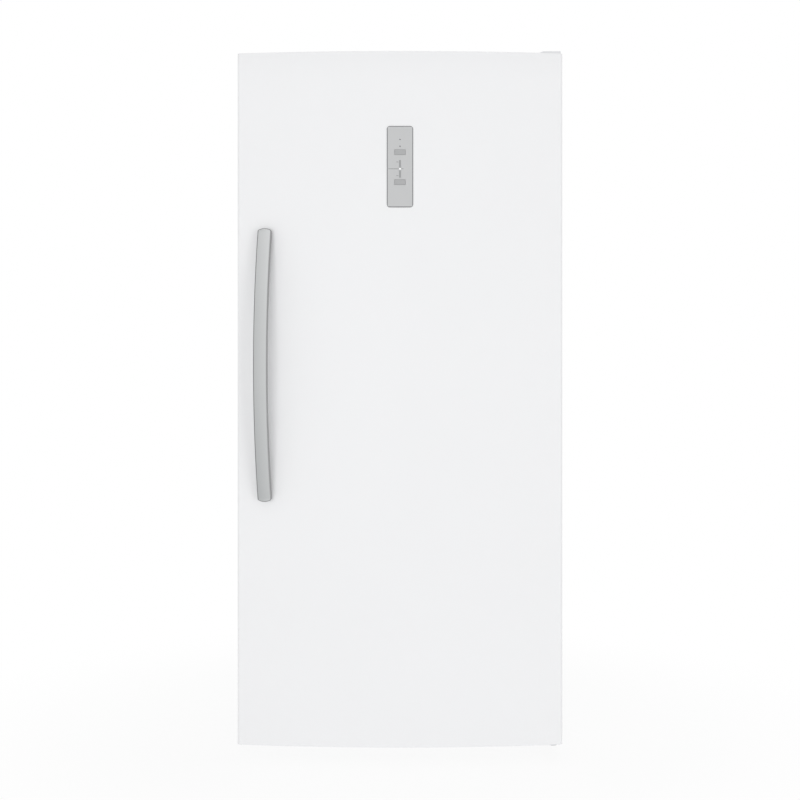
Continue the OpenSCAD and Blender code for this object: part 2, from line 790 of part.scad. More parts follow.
// Trough under the evaporator, with the tube that leads the melt water down
module drain_trough() color("whitesmoke") {
    z0 = duct_z0 + duct_t + 1;
    y0 = duct_y + duct_t + 2;
    half = coil_w / 2 + 14;
    difference() {
        union() {
            block([-half, half], [y0, y_rear_wall], [z0, z0 + trough_h]);
            rod_z([0, coil_y, tray_h + tray_t + pan_h + 14], drain_d / 2, z0 + past - tray_h - tray_t - pan_h - 14);
        }
        block([trough_t - half, half - trough_t], [y0 + trough_t, y_rear_wall - trough_t],
            [z0 + trough_t, z0 + trough_h + past]);
        rod_z([0, coil_y, tray_h], drain_d / 2 - trough_t, z0 + trough_h);
    }
}

module lamp_lens() color("ivory") difference() {
    front = shelf_y0 + lens_set_back;
    block([-lens_w / 2, lens_w / 2], [front, front + lens_d], [room_z1 - lens_h, room_z1]);
    block([lens_t - lens_w / 2, lens_w / 2 - lens_t], [front + lens_t, front + lens_d - lens_t],
        [room_z1 - lens_h + lens_t, room_z1 + past]);
}

module light_switch_body() color("white") difference() {
    block([switch_x - switch_w / 2, switch_x + switch_w / 2], [y_face + 2, y_face + 2 + switch_d],
        [room_z1 - switch_h, room_z1]);
    rod_y([switch_x, y_face, room_z1 - switch_h / 2], plunger_d / 2 + running, switch_d - 2);
}

module light_switch_plunger() color("lightgray") {
    rod_y([switch_x, y_door + near, room_z1 - switch_h / 2], plunger_d / 2, gasket_t + 2 + 26);
}

// Machine space

function compressor_feet() = [for (sx = [-1, 1], sy = [-1, 1])
    [compressor_x + sx * compressor_foot, compressor_y + sy * compressor_foot]];

module compressor_bolts(z, len) for (p = compressor_feet()) rod_z([p[0], p[1], z], bolt_r + seam, len);

// The sealed can: a lower shell, a welded seam and a domed upper shell
module compressor_can() {
    r = compressor_d / 2;
    seam = compressor_h * 0.45;
    dome = r * 0.5;
    profile = concat(
        [[0, 0], [r - 14, 0]],
        [for (i = [1:5]) [r - 14 + 10 * sin(18 * i), 10 - 10 * cos(18 * i)]],
        [[r - 4, seam - 4], [r, seam - 4], [r, seam + 4], [r - 5, seam + 4]],
        [for (i = [0:8]) [(r - 5) * cos(11.25 * i), compressor_h - dome + dome * sin(11.25 * i)]]);
    translate([compressor_x, compressor_y, compressor_z]) rotate_extrude($fn = 96) polygon(profile);
}

module compressor() color("black") difference() {
    union() {
        compressor_can();
        for (x = [-1, 1] * compressor_foot + [1, 1] * compressor_x)
            block([x - compressor_foot_w / 2, x + compressor_foot_w / 2],
                [compressor_y - compressor_foot - compressor_foot_w / 2,
                    compressor_y + compressor_foot + compressor_foot_w / 2], [compressor_z, compressor_z + 3]);
    }
    compressor_bolts(compressor_z - past, 3 + 2 * past);
}

// Rubber feet between the compressor and its tray, each with its bolt through the middle left to the grommet
module compressor_grommets() color("dimgray") for (p = compressor_feet()) {
    rod_z([p[0], p[1], tray_h + tray_t], grommet_r, grommet_h);
    rod_z([p[0], p[1], tray_h], bolt_r, grommet_h + tray_t + 3);
}

module relay_box() color("dimgray") {
    x1 = compressor_x - compressor_d / 2 + 2;
    difference() {
        block([x1 - 26, x1 + 14], [compressor_y - 30, compressor_y + 30], [compressor_z + 16, compressor_z + 60]);
        translate([compressor_x, compressor_y, compressor_z])
            cylinder(r = compressor_d / 2 - 4 + seam, h = compressor_h, $fn = 96);
    }
}

// Tube and fin block of the condenser, on two feet
module condenser_coil() color("dimgray") {
    z0 = tray_h + tray_t;
    z1 = z0 + condenser_foot_h;
    x0 = condenser_x - condenser_half;
    y0 = compressor_y - condenser_d / 2;
    pitch = 2 * (condenser_half - 6) / (condenser_fins - 1);
    fin_t = 1;
    foot_w = 8;
    for (i = [0:condenser_fins - 1]) block([x0 + i * pitch, x0 + fin_t + i * pitch], [y0, y0 + condenser_d],
        [z1, z1 + condenser_h]);
    for (y = condenser_ys) rod_x([x0 - 6, y, condenser_z], tube_d / 2, 2 * condenser_half + 6);
    for (y = [y0, y0 + condenser_d - foot_w]) block([x0, x0 + fin_t + (condenser_fins - 1) * pitch],
        [y, y + foot_w], [z0, z1 + 6]);
}

// Motor on a post, blowing air over the condenser and the compressor
module condenser_fan_motor() color("dimgray") {
    rod_x([big_fan_x - 50, compressor_y, big_fan_z], 26, 38);
    rod_x([big_fan_x - 14, compressor_y, big_fan_z], shaft_d / 2, 34);
    block([big_fan_x - 44, big_fan_x - 20], [compressor_y - 12, compressor_y + 12],
        [tray_h + tray_t, big_fan_z]);
}

module condenser_fan() color("whitesmoke")
    translate([big_fan_x - 5, compressor_y, big_fan_z]) rotate([0, 90, 0]) fan(big_fan_d / 2, 18, 18, 5, 24);

// A run of tube from p to q, both on one line along X, Y or Z
module tube_run(p, q, r) {
    d = q - p;
    len = norm(d);
    translate(d[0] + d[1] + d[2] < 0 ? q : p)
        rotate(abs(d[0]) > 0 ? [0, 90, 0] : (abs(d[1]) > 0 ? [-90, 0, 0] : [0, 0, 0]))
            cylinder(r = r, h = len, $fn = 32);
}

// A tube through a list of points, with a ball at each bend
module tube_route(points, r) {
    for (i = [1:len(points) - 1]) tube_run(points[i - 1], points[i], r);
    for (i = [1:len(points) - 2]) translate(points[i]) sphere(r = r + near, $fn = 32);
}

// Discharge line to the condenser, liquid line with its drier, and suction line back
module refrigerant_pipes() color("peru") {
    x0 = condenser_x + condenser_half;
    x_out = x0 + 15;
    z_top = machine_z1 - sheet_t - 14;
    z_low = z_top - 11;
    y_in = y_machine + 18;
    y_out = y_machine + 70;
    difference() {
        union() {
            tube_route([[x0, condenser_ys[0], condenser_z], [x_out, condenser_ys[0], condenser_z],
                [x_out, condenser_ys[0], z_top], [x_out, y_in, z_top], [compressor_x, y_in, z_top],
                [compressor_x, y_in, compressor_z + 50], [compressor_x, y_in + 30, compressor_z + 50]], tube_d / 2);
            tube_route([[-coil_w / 2, coil_y, coil_z + 20], [suction_x, coil_y, coil_z + 20],
                [suction_x, coil_y, z_low], [suction_x, y_out, z_low], [compressor_x - 40, y_out, z_low],
                [compressor_x - 40, y_out, compressor_z + 110]], tube_d / 2);
        }
        compressor_can();
    }
    last = condenser_ys[len(condenser_ys) - 1];
    tube_route([[x0, last, condenser_z], [capillary_x, last, condenser_z],
        [capillary_x, last, condenser_z + 12]], capillary_d / 2);
    rod_z([capillary_x, last, condenser_z + 12], drier_r, drier_len);
    tube_route([[capillary_x, last, condenser_z + 11 + drier_len], [capillary_x, last, z_top],
        [capillary_x, capillary_y, z_top], [capillary_x, capillary_y, coil_z + coil_h - 20],
        [capillary_x, coil_y, coil_z + coil_h - 20], [-coil_w / 2, coil_y, coil_z + coil_h - 20]], capillary_d / 2);
}

module drain_pan() color("dimgray") difference() {
    z0 = tray_h + tray_t;
    y = [y_machine + 30, cover_plate_y - 26];
    block([pan_x0, pan_x1], y, [z0, z0 + pan_h]);
    block([pan_x0 + 2.5, pan_x1 - 2.5], [y[0] + 2.5, y[1] - 2.5], [z0 + 2.5, z0 + pan_h + past]);
}

// Louvred plate over the machine space
module machine_cover() color("gray") {
    rows = 8;
    pitch = 16;
    z0 = tray_h + 50;
    difference() {
        block([sheet_t - half_w, half_w - sheet_t], [cover_plate_y, cover_plate_y + 2],
            [tray_h, machine_z1 - sheet_t]);
        for (i = [0:rows - 1], k = [-1, 0, 1]) front_plate(louvre_w, louvre_h, louvre_h / 2 - 0.1,
            louvre_x + k * louvre_pitch, [cover_plate_y - past, cover_plate_y + 2 + past], z0 + i * pitch);
        rod_y([gland_x, cover_plate_y - past, gland_z], gland_r + seam, 4);
    }
}

// Bush in the machine cover where the supply lead would come out
module cord_gland() color("black") difference() {
    union() {
        rod_y([gland_x, cover_plate_y + 2, gland_z], 12, 2);
        rod_y([gland_x, cover_plate_y - 14, gland_z], gland_r, 17);
    }
    rod_y([gland_x, cover_plate_y - 15, gland_z], 4.5, 20);
}

// Door

module panel_window(y) block([-panel_w / 2 - near, panel_w / 2 + near], y, [panel_h0 - near, panel_z1 + near]);

module door_skin() color("white") difference() {
    door_prism(0, [door_h0, door_z1]);
    door_prism(sheet_t, [door_h0 - past, door_z1 + past]);
    block([-skin_inner_x, skin_inner_x], [y_door - sheet_t - past / 2, y_door + past],
        [door_h0 - past, door_z1 + past]);
    panel_window([y_apex - past, y_apex + 3]);
}

module rib_ring(inset, y) difference() {
    block([inset - rib_x, rib_x - inset], y, [rib_h0 + inset, rib_z1 - inset]);
    block([-rib_in - inset, rib_in + inset], [y[0] - past, y[1] + past],
        [rib_h0 + rib_bar - inset, rib_z1 - rib_bar + inset]);
}

module door_foam() color("khaki") difference() {
    union() {
        difference() {
            door_prism(sheet_t, [door_h0 + cap_t, door_z1 - cap_t]);
            block([-skin_inner_x, skin_inner_x], [y_door - liner_t, y_door],
                [door_h0 + cap_t - past, door_z1 - cap_t + past]);
        }
        rib_ring(liner_t, [y_door - liner_t - past, y_door + rib_h - liner_t]);
    }
    housing_solid();
    panel_window([y_apex - past, panel_back + 1]);
    bush_hole();
}

// The sheet on the door's back, and the raised rib frame on it, which the foam fills through the sheet
module door_liner() color("white") {
    difference() {
        block([-skin_inner_x, skin_inner_x], [y_door - liner_t, y_door], [door_h0 + cap_t, door_z1 - cap_t]);
        rib_ring(liner_t, [y_door - liner_t - past, y_door + past]);
    }
    difference() {
        rib_ring(0, [y_door + seam, y_door + rib_h]);
        rib_ring(liner_t, [y_door - past, y_door + rib_h - liner_t]);
    }
    // Lugs that carry the bins
    for (z = bin_zs) both() block([rib_in - lug_w, rib_in + past / 2], [lug_y, lug_y + lug_d],
        [z + 30, z + 30 + lug_h]);
}

// A plastic end cap, let into the steel skin and level with its edges
module door_cap(z) difference() {
    union() {
        door_prism(sheet_t, z);
        block([-skin_inner_x, skin_inner_x], [y_door - sheet_t, y_door], z);
    }
    bush_hole();
}

module door_caps() color("white") {
    door_cap([door_z1 - cap_t, door_z1]);
    door_cap([door_h0, door_h0 + cap_t]);
}

module gasket_ring(w, y) {
    mid = gasket_w / 2 + 4;
    difference() {
        block([-room_x - mid - w / 2, room_x + mid + w / 2], y, [room_z0 - mid - w / 2, room_z1 + mid + w / 2]);
        block([w / 2 - room_x - mid, room_x + mid - w / 2], [y[0] - past, y[1] + past],
            [room_z0 - mid + w / 2, room_z1 + mid - w / 2]);
    }
}

// Base strip on the door, narrow bellows, and the magnet strip that meets the cabinet
module door_gasket() color("lightgray") {
    gasket_ring(gasket_w, [y_door, y_door + 2.4]);
    gasket_ring(gasket_w * 0.45, [y_door + 2, y_face - 3.6]);
    gasket_ring(gasket_w * 0.8, [y_face - 4, y_face - near]);
}

module door_bushes() color("dimgray") {
    r = pin_d / 2 + running;
    difference() {
        union() {
            rod_z([hinge_x, hinge_y, door_z1 - pin_len - 4], r + bush_t, pin_len + 4);
            rod_z([hinge_x, hinge_y, door_z1], r + bush_t + 3, bush_flange_t);
        }
        rod_z([hinge_x, hinge_y, door_z1 - pin_len - 2], r, pin_len + 6);
    }
    difference() {
        union() {
            rod_z([hinge_x, hinge_y, door_h0], r + bush_t, pin_len + 3);
            rod_z([hinge_x, hinge_y, bottom_arm_z + near], r + bush_t + 3, door_h0 - bottom_arm_z - near);
        }
        rod_z([hinge_x, hinge_y, door_h0 - 6], r, pin_len + 8);
    }
}

// The handle's own frame: X across it, Y out of the door reversed, Z up from its middle
module at_handle() translate([-handle_x, handle_root_y, handle_z]) rotate([0, 0, -handle_lean]) children();

module handle_disc(r) translate([-handle_w / 2 - past, handle_r - handle_front, 0]) rotate([0, 90, 0])
    cylinder(r = r, h = handle_w + 2 * past, $fn = 240);

module handle_bar() color("silver") at_handle() intersection() {
    difference() {
        handle_disc(handle_r);
        handle_disc(handle_r - handle_t);
    }
    block([-handle_w / 2, handle_w / 2], [-handle_front - past, handle_t], [-handle_len / 2, handle_len / 2]);
}

module handle_mounts() color("silver") difference() {
    at_handle() intersection() {
        handle_disc(handle_r - handle_t);
        for (s = [-1, 1]) block([-mount_w / 2, mount_w / 2], [-handle_front, 12],
            s > 0 ? [handle_len / 2 - 14 - mount_len, handle_len / 2 - 14]
                  : [14 - handle_len / 2, 14 + mount_len - handle_len / 2]);
    }
    door_prism(0, [door_h0, door_z1]);
}

// Control panel

module button_window(z, w, h, y) block([-w / 2, w / 2], y, [z - h / 2, z + h / 2]);

module control_fascia() color("silver") difference() {
    front_plate(panel_w, panel_len, panel_r, 0, [panel_y, panel_back], (panel_h0 + panel_z1) / 2);
    for (z = [button_high, button_low])
        button_window(panel_h0 + z, button_w + 2 * near, button_h + 2 * near, [panel_y - past, panel_back + past]);
    light_slot([panel_y - past, panel_back + past]);
}

module light_slot(y) {
    z = panel_h0 + light_high;
    block([-light_w / 2, light_w / 2], y, [z - light_len / 2, z + light_len / 2]);
}

// A box behind the panel, let in by an even amount from the panel's edge
module housing_box(inset, y) block([inset - panel_w / 2, panel_w / 2 - inset], y,
    [panel_h0 + inset, panel_z1 - inset]);

module housing_solid() {
    housing_box(-housing_rim, [panel_back, panel_back + housing_t]);
    housing_box(housing_in, [panel_back, panel_back + housing_d]);
}

module control_housing() color("dimgray") {
    difference() {
        housing_solid();
        housing_box(housing_in + housing_t, [panel_back - past, panel_back + housing_d - housing_t]);
    }
    // Pillars behind the board
    for (x = [-1, 1], z = [-1, 1]) rod_y([x * (panel_w / 2 - 12), board_y + board_t,
        (panel_h0 + panel_z1) / 2 + z * (panel_len / 2 - 14)], 4, panel_back + housing_d - board_y - board_t - 1);
}

module control_board() color("green") {
    inset = housing_in + housing_t;
    block([inset - panel_w / 2, panel_w / 2 - inset], [board_y, board_y + board_t],
        [panel_h0 + inset, panel_z1 - inset]);
    // Push switches under the two buttons
    for (z = [button_high, button_low]) block([-3, 3], [panel_back + 3.5 + button_travel, board_y + board_t / 2],
        [panel_h0 + z - 3, panel_h0 + z + 3]);
}

module light_bar() color("white") light_slot([panel_y - 0.3, board_y]);

module panel_button(z) color("gainsboro") {
    button_window(panel_h0 + z, button_w, button_h, [panel_y - button_proud, panel_back + near + button_flange_t]);
    button_window(panel_h0 + z, button_w + 2 * button_flange, button_h + 2 * button_flange,
        [panel_back + near, panel_back + near + button_flange_t]);
    button_window(panel_h0 + z, 8, 6, [panel_back, panel_back + 3.5 - near]);
}

module button_upper() panel_button(button_high);
module button_lower() panel_button(button_low);

// Door storage

module door_bin(i) color("aliceblue") {
    z0 = bin_zs[i - 1];
    half = rib_in - 0.5;
    y0 = y_door + near;
    y1 = y0 + bin_d;
    difference() {
        block([-half, half], [y0, y1], [z0, z0 + bin_h]);
        block([bin_end_t - half, half - bin_end_t], [y0 + bin_t, y1 - bin_t], [z0 + bin_t, z0 + bin_h + past]);
        // Channels that hang over the lugs
        both() block([half - lug_w - near + 0.5, half + past], [lug_y - near, lug_y + lug_d + near],
            [z0 - past, z0 + 30 + lug_h + near]);
        // Lower front edge in the middle
        block([-half * 0.6, half * 0.6], [y1 - bin_t - past, y1 + past], [z0 + bin_h - 22, z0 + bin_h + past]);
    }
}

module dairy_box() color("aliceblue") {
    half = rib_in - 0.5;
    y1 = y_door + dairy_d;
    difference() {
        block([-half, half], [y_door, y1], [dairy_h0, dairy_z1]);
        block([bin_t - half, half - bin_t], [y_door + bin_t, y1 + past], [dairy_h0 + bin_t, dairy_z1 - bin_t]);
        both() rod_x([half - bin_t - past, flap_y, flap_z], flap_pin_d / 2 + running, bin_t + 3);
    }
}

module dairy_flap() color("lightcyan") {
    half = rib_in - 0.5 - bin_t - 0.6;
    z0 = dairy_h0 + bin_t + 1;
    difference() {
        union() {
            block([-half, half], [flap_y - flap_t / 2, flap_y + flap_t / 2], [z0, flap_z]);
            rod_x([-half, flap_y, flap_z], flap_t / 2 + 1.5, 2 * half);
            both() rod_x([half - past, flap_y, flap_z], flap_pin_d / 2, past + 0.6 + bin_t);
            block([-40, 40], [flap_y, flap_y + 7], [z0, z0 + 4]);
        }
    }
}

// Feet

module leveling_leg(x) color("dimgray") {
    rod_z([x, foot_y, 0], foot_d / 2, foot_plate_h);
    translate([x, foot_y, foot_plate_h - past]) cylinder(d = foot_screw_d + 8, h = foot_nut_h - foot_plate_h, $fn = 6);
    rod_z([x, foot_y, foot_nut_h - 2], foot_screw_d / 2, base_h - rail_t - 4 - foot_nut_h + 2);
}

module roller_brackets() color("silver") both() {
    gap = roller_w / 2 + 1;
    out = gap + cheek_t;
    y = [roller_y - bracket_d / 2, roller_y + bracket_d / 2];
    for (x = [roller_x + gap, roller_x - out]) block([x, x + cheek_t], y, [roller_z - cheek_drop, tray_h]);
    block([roller_x - out, roller_x + out], y, [tray_h - 2, tray_h]);
    rod_x([roller_x - out, roller_y, roller_z], axle_d / 2, 2 * out);
}

module roller(x) color("dimgray") difference() {
    rod_x([x - roller_w / 2, roller_y, roller_z], roller_d / 2, roller_w);
    rod_x([x - roller_w / 2 - past, roller_y, roller_z], axle_d / 2 + running, roller_w + 2 * past);
}

cabinet_shell();
rear_panel();
bottom_plate();
compressor_tray();
cabinet_foam();
cabinet_liner();
front_rail();
toe_grille();
top_hinge();
top_hinge_cover();
bottom_hinge();
hinge_screws();
shelf_frames();
shelf_glass();
drawer_cover();
evaporator_cover();
evaporator_coil();
evaporator_fan_motor();
defrost_heater();
drain_trough();
lamp_lens();
light_switch_body();
compressor();
compressor_grommets();
relay_box();
condenser_coil();
condenser_fan_motor();
refrigerant_pipes();
drain_pan();
machine_cover();
cord_gland();
roller_brackets();
door_skin();
door_foam();
door_liner();
door_caps();
door_gasket();
door_bushes();
handle_bar();
handle_mounts();
control_fascia();
control_housing();
control_board();
light_bar();
dairy_box();
button_upper();
button_lower();
for (i = [1:bin_count]) door_bin(i);
dairy_flap();
crisper(1);  // crisper_left
crisper(0);  // crisper_right
light_switch_plunger();
evaporator_fan();
condenser_fan();
leveling_leg(-foot_x);  // leveling_leg_left
leveling_leg(foot_x);  // leveling_leg_right
roller(-roller_x);  // roller_left
roller(roller_x);  // roller_right
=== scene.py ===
"""Looks of an upright single door refrigerator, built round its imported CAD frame.

Every mesh is made in millimetres in the row frame: X to the right, Y to the back and Z up, with the
floor at zero. Each sub-assembly is a class that builds its pieces and dresses the CAD nodes it keeps.
"""

import logging
import math
from dataclasses import dataclass
from enum import Enum, IntEnum
from typing import Callable, ClassVar, Iterable, Sequence

import bmesh
import bpy
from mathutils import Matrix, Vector

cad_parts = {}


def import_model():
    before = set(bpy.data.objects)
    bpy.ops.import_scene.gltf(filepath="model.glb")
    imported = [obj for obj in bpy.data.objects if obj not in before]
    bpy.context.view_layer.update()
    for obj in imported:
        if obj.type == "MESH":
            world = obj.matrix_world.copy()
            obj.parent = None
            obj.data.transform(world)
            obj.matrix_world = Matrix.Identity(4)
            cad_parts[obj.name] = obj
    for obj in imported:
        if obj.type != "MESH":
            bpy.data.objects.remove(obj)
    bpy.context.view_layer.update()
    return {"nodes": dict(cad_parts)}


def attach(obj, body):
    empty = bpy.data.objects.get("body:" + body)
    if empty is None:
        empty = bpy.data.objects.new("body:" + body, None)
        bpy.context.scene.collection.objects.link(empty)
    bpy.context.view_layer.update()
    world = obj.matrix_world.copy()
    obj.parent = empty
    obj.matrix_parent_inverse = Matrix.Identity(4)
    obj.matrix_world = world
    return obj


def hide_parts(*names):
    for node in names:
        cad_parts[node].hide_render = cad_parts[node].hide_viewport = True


MM = 0.001
NEAR = 0.01
LOG = logging.getLogger("refrigerator")

Point = tuple[float, float, float]
Colour = tuple[float, float, float]
Span = tuple[float, float]


class Wire:
    """One output of a material's nodes, so that shader maths reads as Python."""

    def __init__(self, bench: "Bench", socket: bpy.types.NodeSocket) -> None:
        """Wraps an output of a node on a bench."""
        self.bench = bench
        self.socket = socket

    def __add__(self, other: "Wire | float") -> "Wire":
        """The sum."""
        return self.bench.math("ADD", self, other)

    def __radd__(self, other: float) -> "Wire":
        """The sum, with the number first."""
        return self.bench.math("ADD", other, self)

    def __sub__(self, other: "Wire | float") -> "Wire":
        """The difference."""
        return self.bench.math("SUBTRACT", self, other)

    def __rsub__(self, other: float) -> "Wire":
        """The difference, with the number first."""
        return self.bench.math("SUBTRACT", other, self)

    def __mul__(self, other: "Wire | float") -> "Wire":
        """The product."""
        return self.bench.math("MULTIPLY", self, other)

    def __rmul__(self, other: float) -> "Wire":
        """The product, with the number first."""
        return self.bench.math("MULTIPLY", other, self)

    def swing(self, reach: float) -> "Wire":
        """A value from 0 to 1 as a swing about 0, which reaches equally far each way."""
        return (self - 0.5) * (2.0 * reach)

    def clamped(self) -> "Wire":
        """The value kept between 0 and 1."""
        return self.bench.math("MINIMUM", self.bench.math("MAXIMUM", self, 0.0), 1.0)

    def step(self, low: float, high: float) -> "Wire":
        """A soft step of the value.

        Args:
            low: Where it is still 0.
            high: Where it has reached 1.

        Returns:
            The step, from 0 to 1.
        """
        return self.bench.out(
            "ShaderNodeMapRange",
            {"interpolation_type": "SMOOTHSTEP"},
            {"Value": self, "From Min": low, "From Max": high},
        )


class Bench:
    """The node tree of one material or world."""

    def __init__(self, owner: bpy.types.Material | bpy.types.World) -> None:
        """Takes over a node tree and clears it.

        Args:
            owner: The new material or world that the tree belongs to.
        """
        owner.use_nodes = True
        owner.node_tree.nodes.clear()
        self.tree = owner.node_tree

    def node(self, kind: str, settings: dict | None = None, sockets: dict | None = None) -> bpy.types.Node:
        """Makes a node.

        Args:
            kind: The node's type.
            settings: Its properties.
            sockets: A value or a wire for each input, by name or number.

        Returns:
            The node.
        """
        made = self.tree.nodes.new(kind)
        for key, value in (settings or {}).items():
            setattr(made, key, value)
        for key, value in (sockets or {}).items():
            if isinstance(value, Wire):
                self.tree.links.new(value.socket, made.inputs[key])
            elif isinstance(value, tuple) and made.inputs[key].type == "RGBA":
                made.inputs[key].default_value = (*value[:3], 1.0)
            else:
                made.inputs[key].default_value = value
        return made

    def out(
        self, kind: str, settings: dict | None = None, sockets: dict | None = None, name: str | int = 0
    ) -> Wire:
        """One output of a new node, by its name or number. The rest is as for a node."""
        return Wire(self, self.node(kind, settings, sockets).outputs[name])

    def math(self, operation: str, *values: "Wire | float") -> Wire:
        """A Math node's result."""
        return self.out("ShaderNodeMath", {"operation": operation}, dict(enumerate(values)))

    def vector(self, operation: str, *values: "Wire | Point", name: str | int = 0) -> Wire:
        """A Vector Math node's result."""
        return self.out("ShaderNodeVectorMath", {"operation": operation}, dict(enumerate(values)), name)

    def length(self, arrow: Wire) -> Wire:
        """A vector's length."""
        return self.vector("LENGTH", arrow, name="Value")

    def mix(self, factor: "Wire | float", first: "Wire | Colour", second: "Wire | Colour") -> Wire:
        """A colour between two colours."""
        settings = {"data_type": "RGBA", "clamp_factor": True}
        return self.out("ShaderNodeMix", settings, {0: factor, 6: first, 7: second}, 2)

    def place(self, stretch: Point = (1.0, 1.0, 1.0)) -> Wire:
        """A point's place on the piece in metres, stretched along each axis."""
        where = self.out("ShaderNodeTexCoord", name="Object")
        return self.vector("MULTIPLY", where, stretch)

    def along(self, axis: str) -> Wire:
        """A point's place along X, Y or Z in metres."""
        return self.out("ShaderNodeSeparateXYZ", sockets={0: self.place()}, name=axis)

    def noise(self, size: float, detail: float = 2.0, stretch: Point = (1.0, 1.0, 1.0)) -> Wire:
        """Noise near 0.5: the size of a cloud in metres, its finer layers, its density along each axis."""
        sockets = {"Vector": self.place(stretch), "Scale": 1.0 / size, "Detail": detail}
        return self.out("ShaderNodeTexNoise", None, sockets)

    def cells(self, size: float, feature: str = "F1", name: str = "Color") -> Wire:
        """Voronoi cells of a size in metres: their colours or distances."""
        sockets = {"Vector": self.place(), "Scale": 1.0 / size}
        return self.out("ShaderNodeTexVoronoi", {"feature": feature}, sockets, name)


def tone(colour: Colour, share: float) -> Colour:
    """The colour made lighter or darker by a share."""
    return tuple(min(1.0, max(0.0, c * (1.0 + share))) for c in colour)


@dataclass(frozen=True)
class Finish:
    """A moulded, painted or bare surface whose tone, gloss and grain vary a little over it.

    Sizes are in metres. The colour is linear.
    """

    name: str
    colour: Colour
    roughness: float = 0.4
    metallic: float = 0.0
    coat: float = 0.0
    spread: float = 0.02
    cloud: float = 0.15
    grain: float = 0.0012
    depth: float = 0.00002
    gloss_spread: float = 0.05
    ior: float = 1.5

    def material(self) -> bpy.types.Material:
        """Makes the finish's material, or finds it if it is already there.

        Returns:
            The Blender material.
        """
        known = bpy.data.materials.get(self.name + "_finish")
        if known:
            return known
        made = bpy.data.materials.new(self.name + "_finish")
        bench = Bench(made)
        shader = bench.node("ShaderNodeBsdfPrincipled", None, self.constants())
        self.wire(bench, shader)
        bench.node("ShaderNodeOutputMaterial", None, {"Surface": Wire(bench, shader.outputs[0])})
        return made

    def constants(self) -> dict:
        """The shader's inputs that are the same all over the surface."""
        return {"Metallic": self.metallic, "Coat Weight": self.coat, "Coat Roughness": 0.08, "IOR": self.ior}

    def shade(self, bench: Bench, level: Wire, dark: Colour | None = None) -> Wire:
        """The colour half as bright, or the dark one, at a level of -0.5, and 1.5 times as bright at 0.5."""
        return bench.mix((level + 0.5).clamped(), dark or tone(self.colour, -0.5), tone(self.colour, 0.5))

    def base(self, bench: Bench) -> Wire:
        """The surface's colour."""
        clouds = bench.noise(self.cloud, 3.0)
        return bench.mix(clouds, tone(self.colour, -self.spread), tone(self.colour, self.spread))

    def height(self, bench: Bench) -> Wire:
        """The surface's relief, from 0 to 1."""
        return bench.noise(self.grain, 2.0)

    def smear(self, bench: Bench) -> Wire:
        """What the roughness follows, from 0 to 1."""
        return bench.noise(self.cloud * 0.4, 4.0)

    def wire(self, bench: Bench, shader: bpy.types.Node) -> None:
        """Feeds the shader what varies over the surface.

        Args:
            bench: The material's nodes.
            shader: Its Principled shader.
        """
        relief = {"Height": self.height(bench), "Distance": self.depth, "Strength": 1.0}
        feeds = {
            "Base Color": self.base(bench),
            "Roughness": self.smear(bench).swing(self.gloss_spread) + self.roughness,
            "Normal": bench.out("ShaderNodeBump", None, relief),
        }
        for socket, wire in feeds.items():
            bench.tree.links.new(wire.socket, shader.inputs[socket])


@dataclass(frozen=True)
class BrushedFinish(Finish):
    """Metal brushed along one axis, with long fine scratches."""

    axis: str = "Z"
    strands: float = 0.0006
    reach: float = 90.0
    streak: float = 0.07

    def scratches(self, bench: Bench) -> Wire:
        """Noise drawn out along the brushed axis."""
        stretch = tuple(1.0 / self.reach if axis == self.axis else 1.0 for axis in "XYZ")
        return bench.noise(self.strands, 3.0, stretch)

    def patches(self, bench: Bench) -> Wire:
        """Clouds of tone with the scratches over them, about 0."""
        return bench.noise(self.cloud, 2.0).swing(self.spread) + self.scratches(bench).swing(self.streak)

    def base(self, bench: Bench) -> Wire:
        """The colour with its clouds and scratches."""
        return self.shade(bench, self.patches(bench))

    def height(self, bench: Bench) -> Wire:
        """The scratches."""
        return self.scratches(bench)

    def smear(self, bench: Bench) -> Wire:
        """Rougher in the scratches."""
        return self.scratches(bench)


@dataclass(frozen=True)
class SpangleFinish(Finish):
    """Galvanised sheet with the flat crystals that zinc sets in."""

    crystal: float = 0.009

    def crystals(self, bench: Bench, channel: int) -> Wire:
        """A value for each crystal, which is another one for each of three channels."""
        return bench.out("ShaderNodeSeparateColor", None, {0: bench.cells(self.crystal)}, channel)

    def base(self, bench: Bench) -> Wire:
        """A tone for each crystal."""
        dull = bench.noise(self.cloud, 3.0)
        return self.shade(bench, self.crystals(bench, 0).swing(self.spread) + dull.swing(self.spread / 2))

    def smear(self, bench: Bench) -> Wire:
        """A gloss for each crystal."""
        return self.crystals(bench, 1)


@dataclass(frozen=True)
class GlassFinish(Finish):
    """Float glass, which bends light."""

    through: float = 0.9

    def constants(self) -> dict:
        """The shader's constant inputs, with its transmission."""
        return {**super().constants(), "Transmission Weight": self.through}


@dataclass(frozen=True)
class ClearFinish(Finish):
    """Thin clear moulded plastic, milkier where it is seen along its surface."""

    veil: float = 0.13
    rim: float = 0.38
    haze: float = 0.02

    def wire(self, bench: Bench, shader: bpy.types.Node) -> None:
        """Adds how much of what is behind shows to what the plain finish feeds.

        Args:
            bench: The material's nodes.
            shader: Its Principled shader.
        """
        super().wire(bench, shader)
        facing = bench.out("ShaderNodeLayerWeight", None, {"Blend": 0.3}, "Facing")
        haze = bench.noise(self.cloud, 2.0).swing(self.haze)
        cover = (facing * self.rim + self.veil + haze).clamped()
        bench.tree.links.new(cover.socket, shader.inputs["Alpha"])


